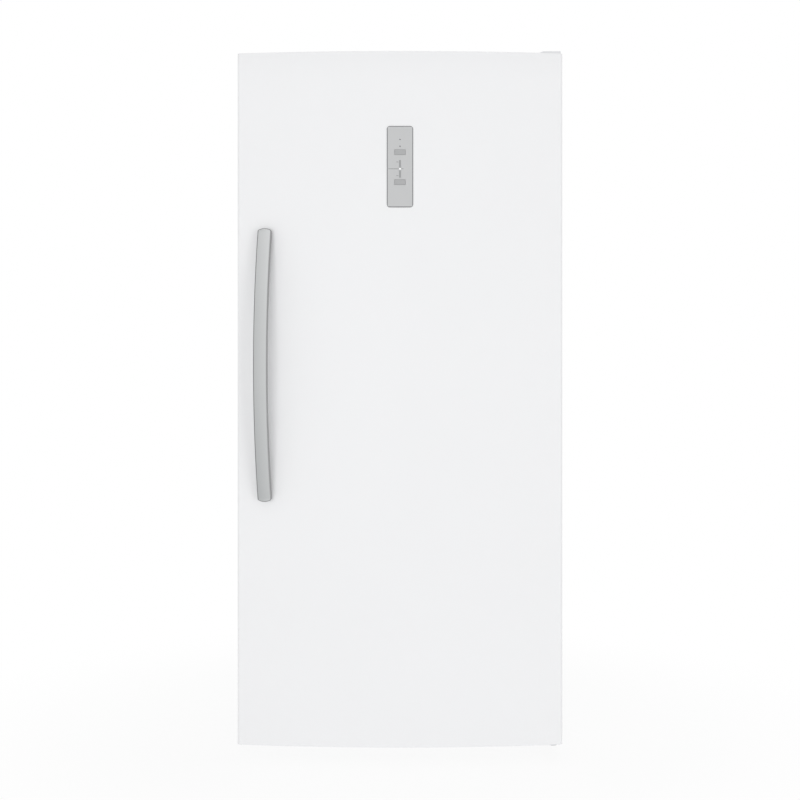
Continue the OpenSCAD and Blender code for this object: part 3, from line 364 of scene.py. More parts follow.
@dataclass(frozen=True)
class PanelFinish(Finish):
    """Silver painted plastic, with painted shade along its edge that stands for the shadowed gap round it.
    """

    half: float = 0.03225
    low: float = 1.3825
    high: float = 1.5835
    edge_shade_width: float = 0.0019
    blur: Span = (-0.0003, 0.0004)
    edge_shade_colour: Colour = (0.27, 0.275, 0.28)

    def base(self, bench: Bench) -> Wire:
        """The silver with the painted shade along its edge.

        Args:
            bench: The material's nodes.

        Returns:
            The colour, darker close to the panel's edge with the painted shade.
        """
        middle = (self.low + self.high) / 2
        tall = (self.high - self.low) / 2
        side = bench.math("ABSOLUTE", bench.along("X")) - (self.half - self.edge_shade_width)
        end = bench.math("ABSOLUTE", bench.along("Z") - middle) - (tall - self.edge_shade_width)
        near = bench.math("MAXIMUM", side, end)
        # Painted shade: a dark band along the panel's edge, where the gap round it would fall into shadow.
        return bench.mix(near.step(*self.blur), super().base(bench), self.edge_shade_colour)


@dataclass(frozen=True)
class PaintedLightBarFinish(BrushedFinish):
    """The handle's brushed front, with painted light that makes it lighter across the bar and up it, and a
    cooler painted shade where it is darker.
    """

    seat: Point = (0.0, 0.0, 0.0)
    lean: float = 0.14
    half: float = 0.0172
    tall: float = 0.34
    # How much the painted light brightens the bar across it and up it, and the tint of its painted shade.
    painted_light_across: float = 0.1
    painted_light_up: float = 0.1
    painted_shade_tint: Colour = (0.48, 0.502, 0.51)

    def base(self, bench: Bench) -> Wire:
        """The brushed tone with painted light, lighter across the bar and towards its top.

        Args:
            bench: The material's nodes.

        Returns:
            The colour, with a cooler painted shade where it is darker.
        """
        x = (bench.along("X") - self.seat[0]) * math.cos(self.lean)
        y = (bench.along("Y") - self.seat[1]) * math.sin(self.lean)
        across = (x - y) * (1.0 / self.half)
        up = (bench.along("Z") - self.seat[2]) * (1.0 / self.tall)
        # Painted light: the tone rises across the bar and towards its top, as a lamp to one side and above
        # would make it.
        level = across * self.painted_light_across + up * self.painted_light_up + self.patches(bench)
        # The painted shade's colour, cooler than the metal.
        dark = tuple(c * k for c, k in zip(self.colour, self.painted_shade_tint))
        return self.shade(bench, level, dark)


@dataclass(frozen=True)
class LitFinish(Finish):
    """A diffuser that is faintly lit from behind, brightest at its middle."""

    middle: Point = (0.0, 0.0, 0.0)
    reach: float = 0.02
    glow: float = 0.3

    def constants(self) -> dict:
        """The shader's constant inputs, with the strength of its glow."""
        return {**super().constants(), "Emission Strength": self.glow}

    def wire(self, bench: Bench, shader: bpy.types.Node) -> None:
        """Adds the glow to what the plain finish feeds.

        Args:
            bench: The material's nodes.
            shader: Its Principled shader.
        """
        super().wire(bench, shader)
        away = bench.vector("SUBTRACT", bench.place(), self.middle)
        spot = 1.0 - bench.length(away).step(0.0, self.reach)
        lit = bench.mix(spot, tone(self.colour, -0.6), (1.0, 1.0, 0.98))
        bench.tree.links.new(lit.socket, shader.inputs["Emission Color"])


@dataclass(frozen=True)
class BoardFinish(Finish):
    """A circuit board's solder mask over its copper tracks."""

    track: float = 0.004
    edge: Span = (0.04, 0.09)
    copper: Colour = (0.10, 0.42, 0.22)

    def base(self, bench: Bench) -> Wire:
        """Paler lines where tracks run under the mask."""
        tracks = 1.0 - bench.cells(self.track, "DISTANCE_TO_EDGE", "Distance").step(*self.edge)
        return bench.mix(tracks, super().base(bench), self.copper)


class Slot(Enum):
    """The record's material slots, each with the finish that dresses it."""

    WHITE_ENAMEL = Finish("white_enamel", (0.858, 0.862, 0.872), 0.3, coat=0.35, spread=0.006, cloud=0.3,
                          grain=0.0026, depth=0.000012, gloss_spread=0.03)
    ZINC_STEEL = SpangleFinish("zinc_steel", (0.50, 0.51, 0.52), 0.40, metallic=0.6, spread=0.07)
    INSULATION = Finish("insulation", (0.80, 0.70, 0.42), 0.9, spread=0.1, cloud=0.03, grain=0.0015,
                        depth=0.0004)
    WHITE_PLASTIC = Finish("white_plastic", (0.80, 0.81, 0.82), 0.36, spread=0.01, grain=0.0009)
    CLEAR_PLASTIC = ClearFinish("clear_plastic", (0.86, 0.90, 0.93), 0.12, spread=0.01, depth=0.000004,
                                gloss_spread=0.02)
    SHELF_GLASS = GlassFinish("shelf_glass", (0.90, 0.97, 0.95), 0.03, spread=0.01, depth=0.000001,
                              gloss_spread=0.01, ior=1.45, through=0.94)
    LAMP_DIFFUSER = LitFinish("lamp_diffuser", (0.88, 0.89, 0.88), 0.45, depth=0.00003)
    SATIN_METAL = BrushedFinish("satin_metal", (0.50, 0.505, 0.50), 0.36, metallic=1.0, spread=0.05,
                                cloud=0.25, depth=0.000006)
    SILVER_PLASTIC = BrushedFinish("silver_plastic", (0.56, 0.565, 0.57), 0.42, metallic=0.55, cloud=0.08,
                                   depth=0.000004, streak=0.02, gloss_spread=0.03)
    GRAY_PLASTIC = Finish("gray_plastic", (0.09, 0.093, 0.097), 0.5, spread=0.08, grain=0.0008,
                          depth=0.00004)
    CIRCUIT_BOARD = BoardFinish("circuit_board", (0.03, 0.18, 0.08), 0.35, spread=0.05)
    GASKET_VINYL = Finish("gasket_vinyl", (0.66, 0.67, 0.68), 0.6, spread=0.03, grain=0.0008, depth=0.00003)
    BLACK_RUBBER = Finish("black_rubber", (0.02, 0.02, 0.021), 0.75, spread=0.1, depth=0.00005)
    BLACK_ENAMEL = Finish("black_enamel", (0.014, 0.014, 0.016), 0.3, coat=0.4, spread=0.1, depth=0.00003)
    MILL_ALUMINIUM = BrushedFinish("mill_aluminium", (0.72, 0.73, 0.74), 0.35, metallic=1.0, spread=0.04,
                                   streak=0.05)
    COPPER = Finish("copper", (0.72, 0.35, 0.20), 0.3, metallic=1.0, spread=0.12, cloud=0.03)
    HEATER_SHEATH = Finish("heater_sheath", (0.32, 0.26, 0.21), 0.4, metallic=1.0, spread=0.2, cloud=0.03)
    COVER_BOARD = Finish("cover_board", (0.36, 0.37, 0.38), 0.5, coat=0.1, spread=0.03, depth=0.00003)


def put(name: str, data: bpy.types.ID) -> bpy.types.Object:
    """Puts something into the scene.

    Args:
        name: Its name.
        data: The mesh, the lamp or the camera.

    Returns:
        The object that holds it.
    """
    made = bpy.data.objects.new(name, data)
    bpy.context.scene.collection.objects.link(made)
    return made


def arc(centre: Span, radius: float, start: float, stop: float, steps: int) -> list[Span]:
    """Points on an arc, from one angle in degrees to another."""
    turns = [math.radians(start + (stop - start) * i / steps) for i in range(steps + 1)]
    return [(centre[0] + radius * math.cos(a), centre[1] + radius * math.sin(a)) for a in turns]


def rounded_loop(half: float, z: Span, radius: float, y: float, steps: int = 6) -> list[Point]:
    """A rounded rectangle in a plane across Y.

    Args:
        half: Half its width.
        z: Its lowest and highest Z.
        radius: The radius of its corners.
        y: The plane's place.
        steps: The segments round each corner.

    Returns:
        Its points.
    """
    right, low, high = half - radius, z[0] + radius, z[1] - radius
    points = []
    for quarter, centre in enumerate(((right, high), (-right, high), (-right, low), (right, low))):
        points += arc(centre, radius, 90 * quarter, 90 * quarter + 90, steps)
    return [(px, y, pz) for px, pz in points]


def both_sides(inner: float, outer: float) -> tuple[Span, Span]:
    """A span in X on the left, and its mirror image on the right."""
    return (-outer, -inner), (inner, outer)


class Blank:
    """A mesh under construction, in millimetres in the row frame."""

    def __init__(self) -> None:
        """Starts an empty mesh."""
        self.mesh = bmesh.new()

    def grid(
        self,
        rows: Sequence[Sequence[Point]],
        ring: bool = False,
        loop: bool = False,
        skip: Callable[[int, int], bool] | None = None,
        ends: bool = False,
        paint: Callable[[int, int], int] | None = None,
    ) -> "Blank":
        """A surface through rows of points.

        Args:
            rows: The rows, all with the same number of points.
            ring: Each row closes on itself.
            loop: The last row joins the first.
            skip: Leaves out the face at a row and a column.
            ends: Closes the first and the last row with a face.
            paint: The number of the finish at a row and a column.

        Returns:
            This blank.
        """
        nodes = [[self.mesh.verts.new(p) for p in row] for row in rows]
        wide = len(rows[0])
        for i in range(len(rows) - (0 if loop else 1)):
            low, high = nodes[i], nodes[(i + 1) % len(rows)]
            for j in range(wide - (0 if ring else 1)):
                if skip and skip(i, j):
                    continue
                k = (j + 1) % wide
                made = self.mesh.faces.new((low[j], high[j], high[k], low[k]))
                if paint:
                    made.material_index = paint(i, j)
        if ends:
            self.mesh.faces.new(nodes[0])
            self.mesh.faces.new(list(reversed(nodes[-1])))
        return self

    def close(self, count: int) -> "Blank":
        """Closes the last row, of a count of points, with a face."""
        self.mesh.faces.new(list(self.mesh.verts)[-count:])
        return self

    def soften(self, edges: list[bmesh.types.BMEdge], radius: float, steps: int) -> "Blank":
        """Rounds edges.

        Args:
            edges: Edges of this blank.
            radius: Their radius.
            steps: The segments across each edge.

        Returns:
            This blank.
        """
        bmesh.ops.bevel(self.mesh, geom=edges, offset=radius, segments=steps, profile=0.5, affect="EDGES",
                        clamp_overlap=True)
        return self

    def block(self, x: Span, y: Span, z: Span, radius: float = 0.0) -> "Blank":
        """A box, with rounded edges if it has a radius.

        Args:
            x: Its lowest and highest X.
            y: Its lowest and highest Y.
            z: Its lowest and highest Z.
            radius: The radius of its edges, which is less where the box is thin.

        Returns:
            This blank.
        """
        made = bmesh.ops.create_cube(self.mesh, size=1.0)["verts"]
        middle = Vector([(a + b) / 2 for a, b in (x, y, z)])
        size = Vector([b - a for a, b in (x, y, z)])
        for v in made:
            v.co = middle + Vector([c * s for c, s in zip(v.co, size)])
        if radius:
            edges = list(dict.fromkeys(e for v in made for e in v.link_edges))
            self.soften(edges, min(radius, 0.49 * min(size)), 3)
        return self

    def disc(
        self, centre: Point, normal: Point, radius: float, height: float, edge: float, sides: int = 32
    ) -> "Blank":
        """A turned disc with a rounded rim, such as a screw head or a dot.

        Args:
            centre: The middle of its underside.
            normal: The way it faces.
            radius: Its radius.
            height: Its height over its underside.
            edge: The radius of its rim.
            sides: How many sides it has.

        Returns:
            This blank.
        """
        turn = Vector(normal).to_track_quat("Z", "Y")
        rows = []
        for r, h in [(radius, 0.0)] + arc((radius - edge, height - edge), edge, 0, 90, 3):
            spots = [turn @ Vector((px, py, h)) for px, py in arc((0.0, 0.0), r, 0, 360, sides)[:-1]]
            rows.append([tuple(spot + Vector(centre)) for spot in spots])
        return self.grid(rows, ring=True, ends=True)

    def piece(
        self,
        name: str,
        body: str,
        slot: Slot,
        replaces: Iterable[str] = (),
        wall: float = 0.0,
        sharp: float = 35.0,
        finishes: Sequence[Finish] = (),
        closed: bool = True,
    ) -> bpy.types.Object:
        """Turns the blank into a piece of the scene.

        Args:
            name: The piece's name.
            body: The CAD body that it rides on.
            slot: The record's slot, whose finish it gets.
            replaces: The CAD nodes that it stands for.
            wall: The thickness given to an open sheet, away from its face.
            sharp: The angle in degrees above which an edge stays sharp.
            finishes: Finishes other than the slot's own, by the numbers painted on the faces.
            closed: Whether the mesh is closed, so that its faces can be turned outward.

        Returns:
            The piece.
        """
        bmesh.ops.remove_doubles(self.mesh, verts=self.mesh.verts, dist=0.001)
        if closed:
            bmesh.ops.recalc_face_normals(self.mesh, faces=self.mesh.faces)
        bmesh.ops.scale(self.mesh, vec=(MM, MM, MM), verts=self.mesh.verts)
        data = bpy.data.meshes.new(name)
        self.mesh.to_mesh(data)
        self.mesh.free()
        made = put(name, data)
        if wall:
            thick = made.modifiers.new("wall", "SOLIDIFY")
            thick.thickness = wall * MM
            thick.offset = -1.0
            thick.use_even_offset = True
            bpy.context.view_layer.update()
            ready = made.evaluated_get(bpy.context.evaluated_depsgraph_get())
            data = bpy.data.meshes.new_from_object(ready)
            made.modifiers.clear()
            made.data = data
        data.shade_smooth()
        data.set_sharp_from_angle(angle=math.radians(sharp))
        for finish in finishes or (slot.value,):
            data.materials.append(finish.material())
        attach(made, body)
        nodes = list(replaces)
        if nodes:
            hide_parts(*nodes)
        LOG.info("piece %s: %d faces on %s", name, len(data.polygons), body)
        return made


@dataclass
class Dresser:
    """Keeps CAD nodes in view with soft edges and a finish."""

    nodes: dict[str, bpy.types.Object]
    weld_gap: float = 0.00001
    steps: int = 3
    sharp: float = 32.0
    evenness: int = 80

    def keep(self, slot: Slot, edges: dict[str, float], finish: Finish | None = None) -> None:
        """Dresses CAD nodes that stay.

        Args:
            slot: The slot whose finish they get.
            edges: For each node, the radius of its edges in millimetres.
            finish: A finish other than the slot's own.
        """
        for name, radius in edges.items():
            node = self.nodes[name]
            node.data.materials.clear()
            node.data.materials.append((finish or slot.value).material())
            if radius:
                weld = node.modifiers.new("weld", "WELD")
                weld.merge_threshold = self.weld_gap
                bevel = node.modifiers.new("edges", "BEVEL")
                bevel.width = radius * MM
                bevel.segments = self.steps
                bevel.limit_method = "ANGLE"
                bevel.angle_limit = math.radians(self.sharp)
                bevel.use_clamp_overlap = True
                even = node.modifiers.new("even", "WEIGHTED_NORMAL")
                even.keep_sharp = False
                even.weight = self.evenness
            LOG.info("kept %s", name)


@dataclass
class Assembly:
    """A part of the refrigerator: pieces of its own, and CAD nodes that stay and are only dressed."""

    dresser: Dresser
    kept: ClassVar[dict[Slot, dict[str, float]]] = {}

    def build(self) -> None:
        """Makes the pieces and dresses the nodes, each with the radius of its edges."""
        self.make()
        for slot, edges in self.kept.items():
            self.dresser.keep(slot, edges)

    def make(self) -> None:
        """Makes the pieces of its own, where it has any."""


@dataclass
class DoorPanel(Assembly):
    """The bowed door: its steel skin, formed liner, rib frame, gasket and end caps."""

    half: float = 406.5
    back: float = -237.0
    thick: float = 50.0
    bow: float = 26.0
    corner: float = 8.0
    z: Span = (42.0, 1770.0)
    sheet: float = 1.0
    lip_x: float = 384.5
    hem_r: float = 1.2
    cap: float = 12.0
    fold: float = 0.9
    window_half: float = 32.7
    window_z: Span = (1382.0, 1584.0)
    window_r: float = 7.4
    notch_half: float = 50.0
    notch_rim: float = 15.0
    notch_depth: float = 24.0
    frame_out: float = 345.0
    frame_bar_x: float = 49.0
    frame_bar_z: float = 34.0
    frame_z: Span = (352.0, 1680.0)
    frame_h: float = 45.0
    seal_mid: Point = (366.5, 105.0, 1721.0)
    face: float = -227.0
    bins: tuple[float, ...] = (410.0, 720.0, 1030.0)
    lug_y: Span = (8.0, 34.0)
    lug_z: Span = (30.0, 74.0)
    kept = {Slot.WHITE_PLASTIC: {"door_caps": 0.6}, Slot.GRAY_PLASTIC: {"door_bushes": 0.0}}

    @property
    def bow_r(self) -> float:
        """The radius of the bowed front."""
        return (self.half**2 + self.bow**2) / (2 * self.bow)

    @property
    def bow_y(self) -> float:
        """The place of the bow's centre."""
        return self.back - self.thick - self.bow + self.bow_r

    def front(self, x: float, inset: float = 0.0) -> float:
        """The Y of the bowed front at an X, or of a sheet that far behind it."""
        return self.bow_y - math.sqrt((self.bow_r - inset) ** 2 - x**2)

    def outline(self, inset: float) -> list[Span]:
        """The skin's outline from above, from the right lip round the front to the left lip.

        Args:
            inset: How far it is drawn in.

        Returns:
            Points in X and Y.
        """
        tip_x = self.half - self.corner
        tip_y = self.front(tip_x, self.corner)
        tip_a = math.degrees(math.atan2(tip_y - self.bow_y, tip_x))
        hem = (self.half - inset - self.hem_r, self.back - self.hem_r)
        right = [(self.lip_x, self.back)] + arc(hem, self.hem_r, 90, 0, 4)
        right += arc((tip_x, tip_y), self.corner - inset, 0, tip_a, 8)
        reach = right[-1][0]
        xs = {reach * math.sin(math.pi / 2 * (1 - k / 24)) for k in range(1, 24)}
        xs |= {self.window_half, self.window_half - self.window_r}
        right += [(x, self.front(x, inset)) for x in sorted(xs, reverse=True)]
        return right + [(0.0, self.front(0.0, inset))] + [(-x, y) for x, y in reversed(right)]

    def skin(self) -> None:
        """One sheet round the front and sides, with its folded ends and the window for the panel."""
        folds = arc((self.fold, self.fold), -self.fold, 0, 90, 3)
        sill, head = self.window_z
        flats = (400.0, 900.0, sill, sill + self.window_r, head - self.window_r, head, 1700.0)
        levels = [(inset, self.z[0] + rise) for rise, inset in folds]
        levels += [(0.0, z) for z in flats]
        levels += [(inset, self.z[1] - rise) for rise, inset in reversed(folds)]
        rows = [[(x, y, z) for x, y in self.outline(inset)] for inset, z in levels]

        def in_window(i: int, j: int) -> bool:
            """Tells whether a face is in the panel's window.

            Args:
                i: The face's row.
                j: Its column.

            Returns:
                True for a face that is left out.
            """
            across = max(abs(rows[i][j][0]), abs(rows[i][j + 1][0]))
            if across > self.window_half + NEAR or rows[i][j][1] > self.back - self.thick:
                return False
            return sill < (rows[i][j][2] + rows[i + 1][j][2]) / 2 < head

        blank = Blank().grid(rows, skip=in_window)
        for sx in (-1, 1):
            for edge_z, sz in ((head, 1), (sill, -1)):
                spots = [(sx * self.window_half, edge_z)]
                for dx, dz in arc((-self.window_r, -self.window_r), self.window_r, 90, 0, 6):
                    spots.append((sx * (self.window_half + dx), edge_z + sz * dz))
                corner = [blank.mesh.verts.new((x, self.front(x), z)) for x, z in spots]
                blank.mesh.faces.new(corner if sx * sz > 0 else corner[::-1])
        blank.piece("door_skin_sheet", "door", Slot.WHITE_ENAMEL, ["door_skin"], wall=self.sheet,
                    closed=False)

    def liner(self) -> None:
        """The formed sheet on the door's back with its raised rib frame, and the lugs of the bins."""
        profile = [(-6.0, 0.0, 20), (-1.0, 0.3, 18), (0.3, 1.6, 17), (1.2, 5.0, 16), (2.0, 37.0, 15),
                   (3.2, 41.5, 14), (6.0, 44.2, 13), (9.5, 45.0, 12), (39.5, 45.0, 8), (43.0, 44.2, 7),
                   (45.8, 41.5, 6), (47.0, 37.0, 6), (47.8, 5.0, 6), (48.7, 1.6, 6), (50.0, 0.3, 6),
                   (55.0, 0.0, 6)]
        low, high = self.frame_z
        bar_x, bar_z = self.frame_bar_x, self.frame_bar_z
        loops = [rounded_loop(self.lip_x, (self.z[0] + self.cap, self.z[1] - self.cap), 3.0, self.back)]
        for d, h, radius in profile:
            rise = d * bar_z / bar_x
            loops.append(rounded_loop(self.frame_out - d, (low + rise, high - rise), radius, self.back + h))
        for inset, depth in ((14.0, 0.0), (17.0, -0.9)):
            rise = bar_z + inset
            half = self.frame_out - bar_x - inset
            loops.append(rounded_loop(half, (low + rise, high - rise), 6, self.back + depth))
        blank = Blank().grid(loops, ring=True).close(len(loops[0]))
        blank.piece("door_liner_form", "door", Slot.WHITE_PLASTIC, ["door_liner"], wall=1.1, closed=False)
        lugs = Blank()
        inner = self.frame_out - bar_x
        y = (self.back + self.lug_y[0], self.back + self.lug_y[1])
        for z in self.bins:
            for x in both_sides(inner - 6.0, inner + 1.8):
                lugs.block(x, y, (z + self.lug_z[0], z + self.lug_z[1]), 1.8)
        lugs.piece("bin_lugs", "door", Slot.WHITE_PLASTIC)

    def foam(self) -> None:
        """The foam that fills the door and its rib frame, with a notch for the panel's housing."""
        low, high = self.z[0] + self.cap + 1, self.z[1] - self.cap - 1
        sill, head = self.window_z[0] - self.notch_rim, self.window_z[1] + self.notch_rim
        hem = self.back - 2.2
        blank = Blank()
        rows = []
        for z, cut in ((low, 0), (sill, 0), (sill + 0.1, 1), (head, 1), (head + 0.1, 0), (high, 0)):
            front = [(x, y, z) for x, y in self.outline(1.6) if y < self.back - 3]
            if cut:
                floor = self.back - self.notch_depth
                front = [(x, floor if abs(x) < self.notch_half else y, z) for x, y, z in front]
            rows.append([(front[0][0], hem, z)] + front + [(front[-1][0], hem, z)])
        blank.grid(rows, ring=True, ends=True)
        low, high = self.frame_z
        out, bar = self.frame_out - 9.0, self.frame_out - self.frame_bar_x + 6.0
        z_in = (low + self.frame_bar_z - 6.0, high - self.frame_bar_z + 6.0)
        y = (self.back - 4.0, self.back + self.frame_h - 6.0)
        for x in both_sides(bar, out):
            blank.block(x, y, (low + 9.0, high - 9.0), 2.0)
        for z in ((low + 9.0, z_in[0]), (z_in[1], high - 9.0)):
            blank.block((-bar - 1, bar + 1), y, z, 2.0)
        blank.piece("door_foam_fill", "door", Slot.INSULATION, ["door_foam"])

    def gasket(self) -> None:
        """The magnetic seal: a base strip, folded bellows and the magnet strip."""
        mid_x, low, high = self.seal_mid
        top = self.face - 0.3 - self.back
        profile = [(-11.0, 0.1), (-10.6, 1.6), (-8.0, 2.4), (-5.0, 2.6), (-3.2, 3.6), (-5.4, 4.4),
                   (-5.2, 5.1), (-3.4, 5.6), (-4.2, 6.2), (-8.4, 6.4), (-9.2, 7.4), (-9.0, top - 0.5),
                   (-7.8, top)]
        rows = []
        for d, h in profile + [(-d, h) for d, h in reversed(profile)]:
            x, y, z0, z1 = mid_x + d, self.back + h, low - d, high + d
            rows.append([(x, y, z0), (x, y, z1), (-x, y, z1), (-x, y, z0)])
        blank = Blank().grid(rows, ring=True, loop=True)
        blank.piece("gasket_bellows", "door", Slot.GASKET_VINYL, ["door_gasket"], sharp=50.0)

    def make(self) -> None:
        """Makes the door's skin, liner, gasket and foam."""
        self.skin()
        self.liner()
        self.gasket()
        self.foam()


class BarFace(IntEnum):
    """The number of the finish on each part of the handle's bar."""

    FRONT = 0
    SIDE = 1
    LIP = 2
    SHADED_RIM = 3


@dataclass
class BarHandle(Assembly):
    """The long bar handle, which arches away from the door and leans outward with its bow.

    Each end is crowned, falls away from the front over its last millimetres, and carries a lip that
    a shallow seam parts from the rest.
    """

    door: DoorPanel
    x: float = -334.0
    z: Span = (651.0, 1331.0)
    width: float = 34.4
    thick: float = 14.0
    reach: float = 50.0
    extra_lean: float = 2.0
    end_gap: float = 18.0
    end_crown: float = 4.6
    end_r: float = 4.4
    end_turn: float = 27.0
    end_fall: float = 1.6
    fall_length: float = 2.4
    lip: float = 6.5
    seam: float = 2.7
    seam_half: float = 0.25
    seam_rim: float = 0.5
    seam_depth: float = 0.25
    edge_r: float = 2.5
    crown: float = 0.9
    # How far from each end the rim's dark outline of painted shade reaches.
    outline: float = 2.2
    front_steps: int = 8
    rim_steps: int = 6
    back_steps: int = 5
    tip_steps: int = 8
    sections: int = 72
    kept = {Slot.SATIN_METAL: {"handle_mounts": 2.0}}

    @property
    def lean(self) -> float:
        """How far the bar leans outward with the door's bow."""
        return math.asin(abs(self.x) / self.door.bow_r) + math.radians(self.extra_lean)

    @property
    def half_len(self) -> float:
        """Half the bar's length."""
        return (self.z[1] - self.z[0]) / 2

    @property
    def seat(self) -> Point:
        """The point of the door that the bar's middle is over."""
        return (self.x, self.door.front(self.x), (self.z[0] + self.z[1]) / 2)

    def section(self, half: float, thick: float) -> list[Span]:
        """The bar's section at a place along it, from the front's left edge round it.

        Args:
            half: Half its width there.
            thick: Its thickness there.

        Returns:
            Points across the bar and behind its front.
        """
        r = min(self.edge_r, half * 0.8, thick * 0.45)
        crown = min(self.crown, thick * 0.2)
        back_r = min(r * 0.8, thick * 0.3)
        shares = [k / self.front_steps for k in range(-self.front_steps, self.front_steps + 1)]
        front = [(u * (half - r), crown * u * u) for u in shares]
        side = arc((half - r, crown + r), r, -90, 0, self.rim_steps)[1:]
        side += arc((half - back_r, thick - back_r), back_r, 0, 90, self.back_steps)
        return front + side + [(-px, py) for px, py in reversed(side)]

    def place(self, u: float, behind: float, s: float) -> Point:
        """A point of the bar in the row frame.

        Args:
            u: Across the bar.
            behind: Behind its front, square to the arch.
            s: Along its chord from its middle.

        Returns:
            The point.
        """
        lean = self.lean
        x, root_y, z = self.seat
        apex = self.door.front(0.0)
        front = (root_y - (apex - self.reach)) / math.cos(lean) - self.width / 2 * math.tan(lean)
        sag = front - self.end_gap
        arch_r = (self.half_len**2 + sag**2) / (2 * sag)
        a = math.asin(s / arch_r)
        local_y = arch_r - front - (arch_r - behind) * math.cos(a)
        local_z = max(-self.half_len, min(self.half_len, (arch_r - behind) * math.sin(a)))
        x += u * math.cos(lean) + local_y * math.sin(lean)
        y = root_y - u * math.sin(lean) + local_y * math.cos(lean)
        return (x, y, z + local_z)

    def tip(self) -> list[Span]:
        """Draws the outline of the bar's crowned end.

        Returns:
            Distances from the end, each with half the width there.
        """
        full = self.width / 2
        turn = math.radians(self.end_turn)
        flat = full - self.end_r * (1 - math.sin(turn))
        halves = [flat * k / self.tip_steps for k in range(1, self.tip_steps + 1)]
        spots = [(self.end_crown * (half / full) ** 2, half) for half in halves]
        start = spots[-1][0]
        for i in range(1, self.tip_steps):
            a = turn + (math.pi / 2 - turn) * i / (self.tip_steps - 1)
            along = self.end_r * (math.cos(turn) - math.cos(a))
            spots.append((start + along, flat + self.end_r * (math.sin(a) - math.sin(turn))))
        return spots

    def stations(self) -> list[tuple[float, float, float]]:
        """Lays out the sections that the bar is lofted through, from its top to its bottom.

        Returns:
            Places along the bar, with half the width there and how far its front is set back.
        """
        spots = self.tip()
        seam = self.lip + self.seam
        rim = self.seam_rim
        marks = [spots[-1][0] + 0.4] + [seam + d for d in (-rim, -0.2, 0.2, rim, 0.9)]
        begin = marks[-1]
        marks += [begin + (self.half_len - begin) * k / self.sections for k in range(1, self.sections + 1)]
        spots += [(mark, self.width / 2) for mark in marks]
        made = []
        for t, half in spots:
            fall = self.end_fall * (1 - math.sqrt(1 - (1 - min(1.0, t / self.fall_length)) ** 2))
            groove = self.seam_depth if abs(t - seam) < self.seam_half else 0.0
            made.append((self.half_len - t, half, fall + groove))
        return made + [(-s, half, back) for s, half, back in reversed(made[:-1])]

    def make(self) -> None:
        """Lofts the bar, with painted light on its front and lips, and painted shade on its sides and its
        rim.
        """
        spots = self.stations()
        rows = []
        for s, half, back in spots:
            rows.append([self.place(u, back + v, s) for u, v in self.section(half, self.thick - back)])
        front_end = 2 * self.front_steps + 1
        rim_end = front_end + self.rim_steps
        far_rim = len(rows[0]) - self.rim_steps + 1

        def paint(i: int, j: int) -> int:
            """Picks the finish of a face.

            Args:
                i: The face's row.
                j: Its column.

            Returns:
                The number of the finish.
            """
            t = self.half_len - (abs(spots[i][0]) + abs(spots[i + 1][0])) / 2
            half = (spots[i][1] + spots[i + 1][1]) / 2
            # Painted shade: the sides and back get a darker finish, and the rim along the left edge and
            # round the ends a darker outline still.
            if j >= front_end:
                on_rim = j >= far_rim or (j < rim_end and t < self.lip)
                return BarFace.SHADED_RIM if on_rim else BarFace.SIDE
            across = abs(j + 0.5 - self.front_steps) / self.front_steps * (half - self.edge_r)
            # A dark outline of painted shade round the crowned ends.
            if t - self.end_crown * (2 * across / self.width) ** 2 < self.outline:
                return BarFace.SHADED_RIM
            return BarFace.LIP if t < self.lip + self.seam - self.seam_rim else BarFace.FRONT

        seat = tuple(c * MM for c in self.seat)
        finishes = {
            # Front and lips: brushed metal with painted light, lighter across the bar and up it.
            BarFace.FRONT: PaintedLightBarFinish("bar_front_painted_light", (0.575, 0.58, 0.58), 0.42, metallic=1.0, spread=0.04,
                                     cloud=0.25, depth=0.000005, streak=0.05, seat=seat, lean=self.lean),
            # Sides and back: the metal painted darker, as painted shade.
            BarFace.SIDE: BrushedFinish("bar_side_painted_shade", (0.34, 0.343, 0.346), 0.6, metallic=0.2, spread=0.05,
                                        depth=0.000005),
            BarFace.LIP: PaintedLightBarFinish("bar_lip_painted_light", (0.58, 0.585, 0.585), 0.38, metallic=1.0, spread=0.04,
                                   depth=0.000004, seat=seat, lean=self.lean, painted_light_across=0.14,
                                   painted_light_up=0.055),
            # Rim: a dark outline of painted shade along the bar's left edge and round its ends.
            BarFace.SHADED_RIM: BrushedFinish("bar_rim_painted_shade", (0.20, 0.203, 0.206), 0.6, metallic=0.2, spread=0.05,
                                       depth=0.000005),
        }
        blank = Blank().grid(rows, ring=True, ends=True, paint=paint)
        blank.piece("handle_arch", "door", Slot.SATIN_METAL, ["handle_bar"], sharp=50.0,
                    finishes=[finishes[face] for face in BarFace])


